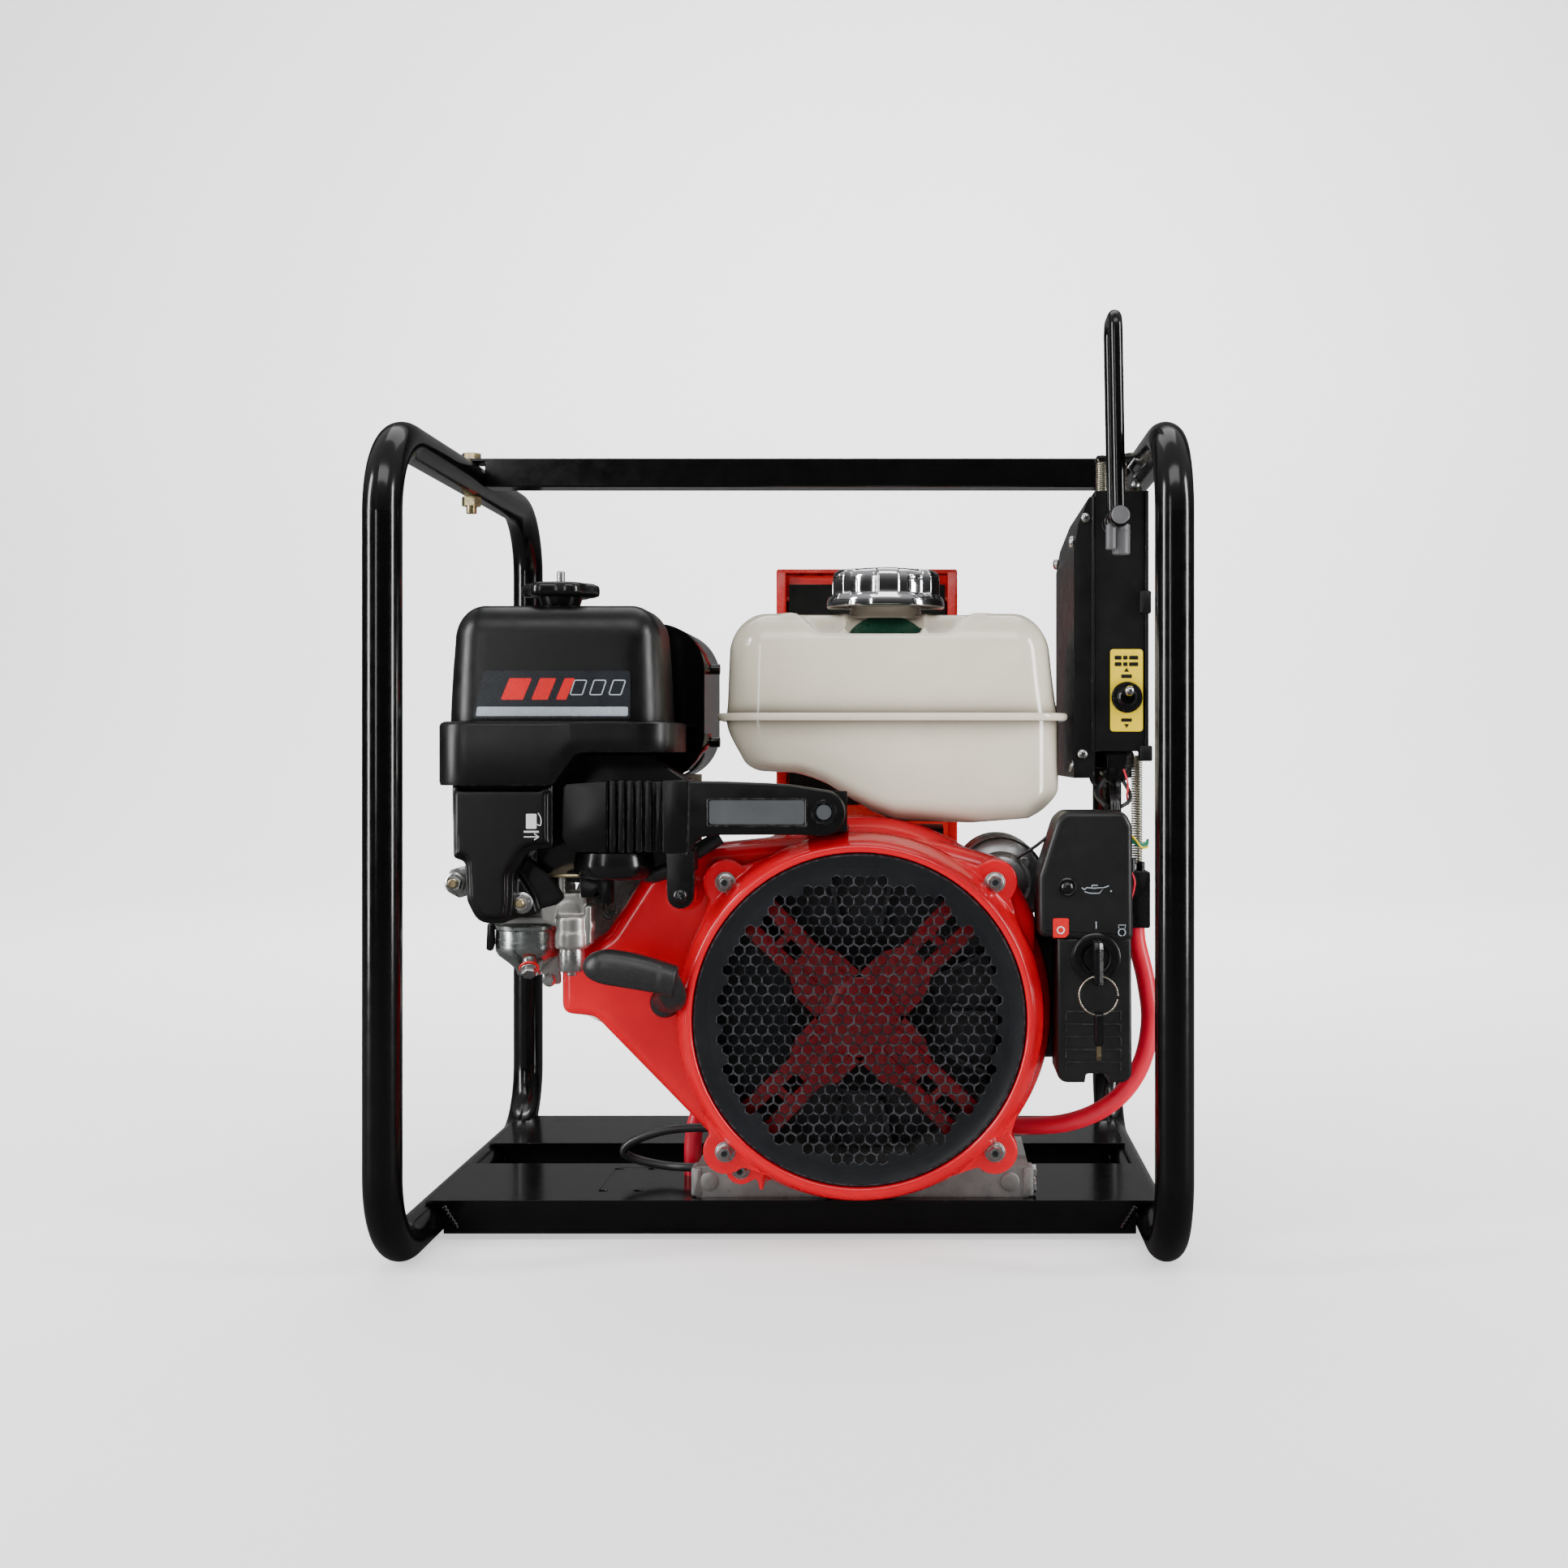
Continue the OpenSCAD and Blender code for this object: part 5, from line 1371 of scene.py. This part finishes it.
def key_symbols():
    """Plain symbols: an oil can, off, on and start marks."""
    w = Shape()
    y = -157.4
    can = [(203, 247.6), (207, 246.6), (213, 246.6), (216.5, 250.5), (209, 250), (204.5, 250.4), (203, 249)]
    spout, cap, knob = [can[3], (219.5, 251.6)], [(208, 250), (208, 252), (212, 252)], [can[6],
                                                                                        (201.2, 250.4)]
    for pts in (can, spout, cap, knob):
        w.tube([(a, y, b) for a, b in pts], 0.42, 6, straight=True)
    w.ball((221, y, 248), 0.6, 8)
    w.tube([(210.9, y, 227.4), (210.9, y, 222.6)], 0.4, 6, straight=True)
    w.tube([(x, y, z) for x, z in arc(228.4, 220, 2.4, -67.5, 270, 15)], 0.4, 6, straight=True)
    w.tube([(226.4, y, 222.6), (226.0, y, 225), (231, y, 225), (230.4, y, 222.6)], 0.3, 6, straight=True)
    w.make("key_box_symbols", "label_pale", sharp=60)
    o = Shape()
    plate = [(181.6, 216.4), (190, 216.4), (192.4, 218.8), (192.4, 229.6), (181.6, 229.6)]
    o.prism(round_poly(plate, 1.2), "y", y + 0.3, y - 0.15)
    o.make("off_plate", "label_red")
    c = Shape()
    c.loop_lathe((186.9, y - 0.1, 221.6), "y", [(1.9, 0.1), (1.9, -0.3), (2.7, -0.3), (2.7, 0.1)], 32)
    c.make("off_mark", "label_white", sharp=30)


key_box()
key_symbols()


def key():
    """The switch's barrel, and the key that turns with it."""
    s = Shape()
    x, z = SWITCH_AT
    s.lathe((x, -151, z), FRONT, [(8.8, 0), (8.8, 7.6), (8.0, 8.6), (2, 8.7)], 48)
    out = round_poly([(-157.6, 210.5), (-163.4, 215.6), (-178.6, 215.6), (-180.6, 211), (-180.6, 188.5),
                      (-178.6, 186.2), (-166.6, 186.2), (-164.2, 189), (-163.2, 198), (-157.6, 199)], 1.6)
    s.prism(out, "x", x - 3.1, x + 0.5, 0.9)
    s.make("ignition_key_bow", "plastic_smooth", body="key", stands_for=("ignition_key",), sharp=40)
    m = Shape()
    m.prism(inset(out, 0.7), "x", x + 0.4, x + 2.9, 0.6)
    m.make("ignition_key_blade", "zinc", body="key", sharp=35)


key()


def spare_key():
    """The split ring with its spare key."""
    x = SWITCH_AT[0]
    s = Shape()
    for y in (-176.55, -175.45):
        s.tube([(px, y, pz) for px, pz in arc(x, 179.5, 13.0, 0, 350, 70)], 0.62, 8, straight=True)
    s.make("split_ring", "spring", body="key_ring", stands_for=("key_ring",), sharp=70)
    b = Shape()
    bow = [(-186, 168.6), (-170.5, 168.6), (-170.5, 148.5), (-176, 146.5), (-182, 146.5), (-186, 149)]
    b.prism(round_poly(bow, 2), "x", x - 2.9, x + 2.9, 1.1)
    b.make("spare_key_bow", "plastic_smooth", body="key_ring", sharp=40)
    m = Shape()
    blade = [(-181, 150), (-175.4, 150), (-175.4, 141), (-176.6, 140), (-175.8, 138.6), (-178, 136.4),
             (-181, 139.6)]
    m.prism(blade, "x", x - 1.4, x + 1.4, 0.3)
    m.make("spare_key_blade", "brass", body="key_ring", slot="zinc", sharp=30)


spare_key()


# ---------------------------------------------------------------- control box, handle and springs

def speed_plate():
    """The yellow plate with its plain marks, and the toggle switch that sits in it."""
    yb = -108.0
    s = Shape()
    s.prism(round_rect(225.5, 357, 248.5, 415, 2.2, 5), "y", yb + 0.1, yb - 0.75)
    s.make("speed_label", "yellow", sharp=30)
    marks = [round_rect(x0, z - 3.4, x1, z - 0.6, 0.5, 2) for z in (411.0, 406.4)
             for x0, x1 in ((228.6, 233.4), (234.6, 237.6), (238.8, 245.2))]
    marks += [[(235.2, 399), (238.8, 399), (237, 402)], round_rect(233.2, 394.6, 240.8, 397.2, 0.4, 2),
              [(235.2, 362.2), (238.8, 362.2), (237, 359.4)], round_rect(233.2, 363.8, 240.8, 366.2, 0.4, 2)]
    t = Shape()
    for mark in marks:
        t.prism(mark, "y", yb - 0.65, yb - 0.92)
    t.make("speed_label_marks", "label_black", sharp=30)

    def wave(a, r, h):
        return r - (0.9 if r > 9.5 and (math.degrees(a) % 60) < 12 else 0)

    # ring nut with notches, and a threaded bush
    n = Shape()
    prof = [(6, 0), (10.8, 0), (11, 0.6), (11, 3.6), (10.2, 4.6), (7.0, 5.0), (6.4, 5.6), (6.2, 8.6),
            (5.4, 9.3), (4.9, 8.8), (4.9, 3)]
    n.lathe((237, yb - 0.8, 381), FRONT, prof, 96, wave)
    n.make("toggle_ring_nut", "plastic_smooth", sharp=35)
    b = Shape()
    prof = [(1.6, 0), (1.9, 3), (2.3, 9), (3.1, 14), (3.5, 17), (3.2, 19.3), (1.9, 20.7), (0.3, 21.0)]
    b.lathe((237, -111, 381), (0, -17, 4), prof, 32)
    b.make("toggle_bat_shell", "chrome", body="toggle", slot="zinc", stands_for=("toggle_bat",), sharp=50)


def box_trim():
    """Screws that hold the cover, its folded lip, two clips and the cable gland."""
    c = Shape()
    for y, z in ((-96, 492), (-96, 332), (56, 492), (56, 332)):
        c.lathe((199.6, y, z), (-1, 0, 0), [(4.4, -0.4), (4.3, 1.0), (3.4, 2.2), (1.6, 2.8), (0.3, 2.9)], 28)
    h = Shape()
    for x, z in ((208.6, 508), (206.2, 341)):
        c.lathe((x, -106.2, z), FRONT, [(3.7, -0.4), (3.6, 0.8), (2.6, 1.9), (0.3, 2.2)], 28)
        h.cross(x, -108.3, z, 1.8, 0.4, 0.4)
    c.make("cover_pan_screws", "zinc", sharp=50)
    # the crosses take the print black: painted shade in the slots
    h.make("pan_screw_crosses", "label_black", slot="knob_plastic")
    trim = Shape()
    trim.block((212.4, -109.4, 343), (214.4, -105.6, 523), 0.4)
    trim.block((250.0, -109.0, 343), (252.6, -96, 527), 0.5)
    trim.block((246, -113, 440), (254, -106, 456), 1.2)
    trim.block((246, -112, 336), (255, -100, 347), 1.2)
    trim.make("control_box_trim", "satin_black", sharp=35)
    g = Shape()
    g.hexhead((231, -88, 331), (0, 0, 1), 24, 12)
    g.lathe((231, -88, 331.4), (0, 0, -1), [(11.4, -1), (11.6, 1.5), (10.8, 5.5), (8.4, 8.8),
                                            (5.6, 10.6)], 48)
    g.make("cable_gland_shell", "plastic_smooth", sharp=35, bevel=0.5)


speed_plate()
box_trim()


def springs():
    s = Shape()
    z1 = 548
    for x, y, z0, turns in ((221, -96, 526, 15), (236, -82, 520, 19)):
        s.coil((x, y, z0), (x, y, z1), 4.0, 0.62, turns)
        hook = [(x + 4, y, z1), (x + 3.6, y, z1 + 3), (x, y, z1 + 5.6), (x - 3, y, z1 + 3.4),
                (x - 1.6, y, z1 + 0.8)]
        s.tube(hook, 0.62, 8, per=5)
        s.tube([(x + 4, y, z0), (x + 2, y, z0 - 3), (x, y, z0 - 5)], 0.62, 8, per=5)
    x, y = 246.6, -88
    s.coil((x, y, 262), (x, y, 340), 3.6, 0.6, 44)
    s.tube([(x + 3.6, y, 340), (247, y, 343.6), (244, y, 346)], 0.6, 8, per=5)
    s.tube([(x + 3.6, y, 262), (247, y, 258.6), (244.6, y, 256)], 0.6, 8, per=5)
    s.make("panel_coil_springs", "spring", stands_for=("panel_springs",), sharp=80)
    h = Shape()
    # spring anchors on the hoop
    h.block((217, -99, 551), (245, -79, 553.4), 0.6)
    h.tube([(236, -82, 554.4), (241, -83, 556), (246, -86, 553), (250, -90, 548), (251, -92, 541)], 1.5,
           10, per=6)
    h.tube([(241, -94, 545), (246, -96, 536), (249, -96, 528), (246, -94, 520)], 1.2, 10, per=6)
    h.make("spring_anchor", "satin_black", sharp=50)
    c = Shape()
    c.tube([(239, -99, 544), (244, -101, 551), (249, -99, 556), (252, -96, 552), (248, -95, 545),
            (243, -98, 538)], 0.9, 8, per=6)
    c.lathe((243.5, -101, 531), (0.2, -1, 0.5), [(1, 0), (3.2, 0.4), (3.2, 3), (2.2, 4)], 20)
    c.lathe((247, -99, 523), (0.5, -1, 0.2), [(1, 0), (2.4, 0.4), (2.4, 5), (1.6, 6)], 20)
    c.make("anchor_fittings", "zinc", sharp=50)


springs()


def handle():
    """Two rods joined at the top, on a pivot pin above a stepped post."""
    s = Shape()
    lean = math.radians(-1)
    px, pz = 227.0, 503.0
    front, back, bend, rod = -152, -117, 9, 4.75
    top = 143 - rod

    # the loop as (y, height above the pin), which then leans over
    climb = [1] + [12 * i for i in range(1, 11)]
    loop = [(front, h) for h in climb]
    loop += [(front + bend - bend * c, top - bend + bend * s) for s, c in quarter(8)]
    loop += [(back - bend + bend * s, top - bend + bend * c) for s, c in quarter(8)]
    loop += [(back, h) for h in climb[::-1]]
    s.tube([(px + h * math.sin(lean), y, pz + h * math.cos(lean)) for y, h in loop], rod, 28, straight=True)
    for y in (front, back):
        s.lathe((px, y - 6.2, pz), "y", [(3.3, 0), (6.6, 0.3), (7.4, 1.4), (7.4, 11), (6.6, 12.1),
                                         (3.3, 12.4)], 40)
    s.make("folding_handle_rod", "gloss_black", body="handle", stands_for=("folding_handle",), sharp=50)
    p = Shape()
    p.disc_rod((px, -163.4, pz), (px, -160.4, pz), 6.2, 32, 0.8)
    p.disc_rod((px, -160.6, pz), (px, -107.8, pz), 2.95, 24)
    p.disc_rod((px, -146, pz), (px, -123, pz), 5.0, 32, 0.8)
    p.disc_rod((px, -111, pz), (px, -107.8, pz), 7.2, 32, 0.6)
    p.disc_rod((px + 3.4, -134, 479), (px + 3.4, -134, 500), 6.2, 40, 0.8)
    p.loop_lathe((px + 3.4, -134, 494.6), "z", [(6.1, -0.5), (6.5, -0.2), (6.5, 0.2), (6.1, 0.5)], 40)
    p.disc_rod((px - 4.2, -139, 482), (px - 4.2, -139, 499), 3.6, 32, 0.6)
    p.make("handle_pivot_post", "grey", stands_for=("handle_bracket",), sharp=40)


handle()


# ---------------------------------------------------------------- cables and wires, on the CAD part's routes

RED_RIGHT = [(245, -95, 218), (246, -95, 206), (252, -96, 180), (255, -97, 152), (250, -97, 124),
             (238, -95, 102), (220, -90, 86), (196, -80, 75), (168, -66, 70), (150, -60, 70),
             (138, -60, 70)]
RED_LEFT = [(-38, -34, 92), (-50, -34, 92), (-64, -35, 86), (-74, -36, 72), (-78, -36, 52), (-78, -36, 27.9)]
EARTH = [(-38, -60, 66), (-48, -60, 66), (-72, -58, 67), (-98, -56, 64), (-120, -54, 56), (-127, -52, 48),
         (-118, -50, 42), (-98, -52, 38), (-80, -58, 38), (-67, -60, 38)]
HARNESS = [(231, -88, 324), (231, -89, 317), (230, -98, 311), (228, -114, 311), (227, -125, 309),
           (227, -127, 302)]


def cables():
    s = Shape()
    s.tube(RED_RIGHT, 6.5, 28, per=8)
    s.tube(RED_LEFT, 6.5, 28, per=8)
    s.make("red_cable_run", "cable_red", stands_for=("red_battery_cable",), sharp=80)
    e = Shape()
    e.tube(EARTH, 3.2, 20, per=8)
    e.make("earth_cable_run", "cable_black", stands_for=("earth_cable",), sharp=80)
    # the harness: a bundle of five wires, and four that leave it
    w = Shape()
    rnd = random.Random(4)
    for k in range(5):
        dx, dy = 2.2 * math.cos(k * 1.26), 2.2 * math.sin(k * 1.26)
        w.tube([(x + dx + rnd.uniform(-0.4, 0.4), y + dy * 0.6, z) for x, y, z in HARNESS], 1.5, 12, per=8)
    w.tube([(236, -94, 322), (240, -100, 314), (239, -108, 308), (232, -116, 304)], 1.4, 10, per=8)
    w.tube([(224, -92, 325), (218, -98, 317), (217, -106, 311), (222, -118, 304)], 2.0, 12, per=8)
    w.tube([(214, -90, 336), (213, -92, 326), (216, -96, 319), (224, -96, 317)], 1.3, 10, per=8)
    w.tube([(186, -120, 290), (180, -118, 283), (172, -114, 276), (160, -108, 268)], 1.2, 10, per=8)
    w.make("harness_wires", "cable_black", stands_for=("wiring_harness",), sharp=80)
    r = Shape()
    r.block((237, -108, 218), (254, -80, 258), 1.5)
    r.disc_rod((241, -102, 257), (241, -102, 267), 3.2, 24)
    r.disc_rod((249, -90, 257), (249, -90, 264), 3.2, 24)
    r.make("starter_relay", "plastic_smooth", slot="black_plastic", sharp=35)
    t = Shape()
    t.tube([(236, -100, 330), (238.5, -104, 320), (238, -103, 312), (239, -101, 305)], 0.7, 8, per=8)
    t.tube([(237.6, -110, 262), (242, -113, 252), (240, -112, 240), (237, -110, 232)], 0.9, 8, per=6)
    t.make("thin_red_wire", "cable_red", sharp=80)
    g = Shape()
    g.tube([(236.8, -112, 284), (241, -113, 281), (246, -112, 278), (251, -108, 278.5), (253, -100, 280)],
           1.0, 8, per=6)
    g.tube([(236.8, -112, 282.6), (241, -113, 279.2), (246, -112, 276.4), (251, -108, 276.8),
            (253, -100, 278)], 0.9, 8, per=6)
    g.make("green_wires", "wire_green", sharp=80)
    y = Shape()
    y.tube([(236.8, -113, 286), (242, -114, 281.6), (247, -113, 275.4), (252, -108, 275.4)], 0.8, 8, per=6)
    y.make("yellow_wire", "yellow", sharp=80)


cables()


# ---------------------------------------------------------------- carburettor trim

def carburettor():
    s = Shape()
    # bowl: a spun cup with a flange and a taper to the drain boss
    prof = [(5, 186.5), (8.5, 187.5), (9.5, 191), (15, 196), (21.4, 201), (23.4, 204.5), (23.6, 208),
            (23.4, 219), (25.2, 220), (25.4, 222.4), (24, 223.2), (6, 223.4)]
    s.lathe((-181, -122, 0), "z", prof, 72)
    s.make("carburettor_bowl", "bowl", sharp=42)
    b = Shape()
    drain = (0.15, -0.72, -0.68)
    b.hexhead((-176.5, -146, 193.6), drain, 9, 5, 6.0)
    b.lathe((-176.5, -144.6, 195.0), drain, [(4.6, -6), (4.6, 1)], 28)
    b.make("drain_bolt", "zinc", sharp=35, bevel=0.3)
    w = Shape()
    w.loop_lathe((-176.5, -145.2, 194.4), drain, [(3.4, -0.6), (6.7, -0.6), (6.9, 0), (6.7, 0.6),
                                                  (3.4, 0.6)], 36)
    w.make("drain_washer", "label_red", slot="red_plastic", sharp=35)
    c = Shape()
    # cast body with bosses, ribs and a stepped throat
    c.block((-200, -138, 223), (-152, -104, 251), 2.2)
    throat = [(-166, 226), (-150, 220), (-136, 221), (-133, 236), (-142, 247), (-158, 246), (-170, 238)]
    c.prism(round_poly(throat, 4), "y", -150, -122, 1.6)
    c.lathe((-148.5, -146, 233), FRONT, [(8.4, -8), (8.2, 3.2), (7.2, 4.4), (1, 4.6)], 40)
    tower = [(10.2, 208.5), (11.4, 210), (11.4, 219), (10.6, 220.5), (10.6, 229), (9.6, 231)]
    c.lathe((-146, -151.5, 0), "z", tower, 48)
    c.block((-136.5, -156, 211), (-132, -144, 238), 1.2)
    c.lathe((-132.4, -150, 224), "x", [(4.6, -1), (4.4, 1.2), (3.4, 1.8), (0.6, 1.9)], 24)
    c.block((-156, -150, 238), (-151, -128, 258), 1.2)
    c.block((-141, -150, 236), (-136.5, -130, 258), 1.2)
    c.lathe((-186, -138, 245), FRONT, [(9.6, -2), (9.6, 7), (8.6, 8)], 40)
    ob = c.make("carburettor_body", "cast_fine", stands_for=("carburettor",), sharp=60)
    cast_blend(ob, 0.8, 3)
    so = Shape()
    so.lathe((-146, -151.5, 0), "z", [(6.4, 192.6), (8.4, 193.4), (8.8, 195), (8.8, 206), (8.2, 208.8)], 40)
    so.disc_rod((-146, -151.5, 190), (-146, -151.5, 193.2), 3.4, 20)
    so.make("fuel_cut_solenoid", "zinc", sharp=40)
    p = Shape()
    p.loop_lathe((-146.6, -146, 258.6), "z", [(5, -1), (16.4, -1), (16.8, 0), (16.4, 1), (5, 1)], 48)
    p.make("throttle_seal", "brass", sharp=35)
    k = Shape()
    k.block((-140, -152, 243), (-121, -141, 256), 1.0)
    k.block((-126, -153, 239), (-118.4, -143, 261), 1.0)
    k.tube([(-122, -148, 240), (-121, -150, 234), (-117, -150, 232), (-116, -148, 238)], 0.9, 8, per=6)
    k.tube([(-125, -148, 240), (-124.6, -150, 232), (-120, -151, 229), (-118, -149, 234)], 0.9, 8, per=6)
    k.make("sensor_connector", "plastic_black", sharp=35)
    t = Shape()
    leg = [(-170, 214), (-160.4, 204), (-158.6, 180.6), (-165, 181), (-178, 196)]
    t.prism(round_poly(leg, 2.5), "y", -127, -122, 0.8)
    t.prism(round_poly([(-204, 224.4), (-160, 224.4), (-160, 229), (-204, 229)], 1), "y", -141, -104, 0.6)
    t.make("carburettor_bracket", "cast", sharp=35)
    n = Shape()
    n.hexhead((-166.4, -127, 184), FRONT, 7, 4, 4.8)
    n.make("bracket_nut", "zinc", sharp=35)
    h = Shape()
    hook = [(-207.6, 224), (-203.4, 224), (-203, 210), (-204.6, 204.6), (-208.4, 206)]
    h.prism(round_poly(hook, 1.6), "y", -136, -130, 0.7)
    h.make("choke_link_hook", "plastic_smooth", sharp=40)


carburettor()


# ---------------------------------------------------------------- engine block trim

def engine_trim():
    s = Shape()
    # round bosses on the feet, studs and nuts, and screws on the right end
    for x in (-58, 155):
        s.lathe((x, -105.8, 38.6), FRONT, [(6.8, -1), (6.6, 0.8), (5.9, 1.2), (1, 1.2)], 40)
    for x in (-66.6, 167.6):
        s.block((x - 4, -107.4, 28.2), (x + 4, -88, 48.8), 2.0)
    s.make("foot_bosses", "cast", sharp=38)
    b = Shape()
    for y, z in ((-98, 44), (-98, 34), (-74, 62), (-52, 62)):
        b.hexhead((168.4 if z < 50 else 138.2, y, z), (1, 0, 0), 9, 5.4, 6.0)
    b.hexhead((138.2, -76, 84), (1, 0, 0), 10, 5, 6.6)
    b.make("block_bolts", "zinc", sharp=35, bevel=0.3)


def alternator_trim():
    """Cooling fins along the alternator, and the bolts of its end bell."""
    f = Shape()
    for a in range(0, 360, 20):
        p = polar(91.6, a)
        f.disc_rod((EX + p.x, 0, EZ + p.y), (EX + p.x, 146, EZ + p.y), 2.2, 10)
    f.make("alternator_ribs", "grey", slot="grey_paint", sharp=60)
    t = Shape()
    for a in (45, 135, 225, 315):
        p = polar(84, a)
        t.hexhead((EX + p.x, 164.0, EZ + p.y), (0, 1, 0), 8, 5.2, 6.0)
    t.hexhead((EX, 171.6, EZ), (0, 1, 0), 13, 6, 10)
    t.make("end_bell_bolts", "zinc", sharp=35, bevel=0.3)


def welds():
    """Beads where the base channels meet the hoops."""
    w = Shape()
    for side in (-1, 1):
        for y0, y1 in ((-116, -1), (71, 160)):
            n = int((y1 - y0) / 3)
            route = [(side * 243.6, y0 + 2 + 3 * i, 24.6 + 0.5 * math.sin(i * 2.1)) for i in range(n)]
            w.tube(route, lambda t: 2.2 + 0.35 * math.sin(t * 160), 8, per=2)
        route = [(side * (242.6 - 1.2 * i), -116.6, 24 - 1.9 * i) for i in range(9)]
        w.tube(route, lambda t: 2.0 + 0.4 * math.sin(t * 40), 8, per=3)
    w.make("weld_beads", "gloss_black", sharp=80)


def tailpipe_lip():
    m = Shape()
    m.loop_lathe((-150, 0, 390), "y", [(12.7, 58), (12.7, 60.4), (15.4, 60.4), (15.8, 59.4), (15.4, 58)], 48)
    m.make("tailpipe_lip", "exhaust", sharp=35)


engine_trim()
alternator_trim()
welds()
tailpipe_lip()

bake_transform(rope)
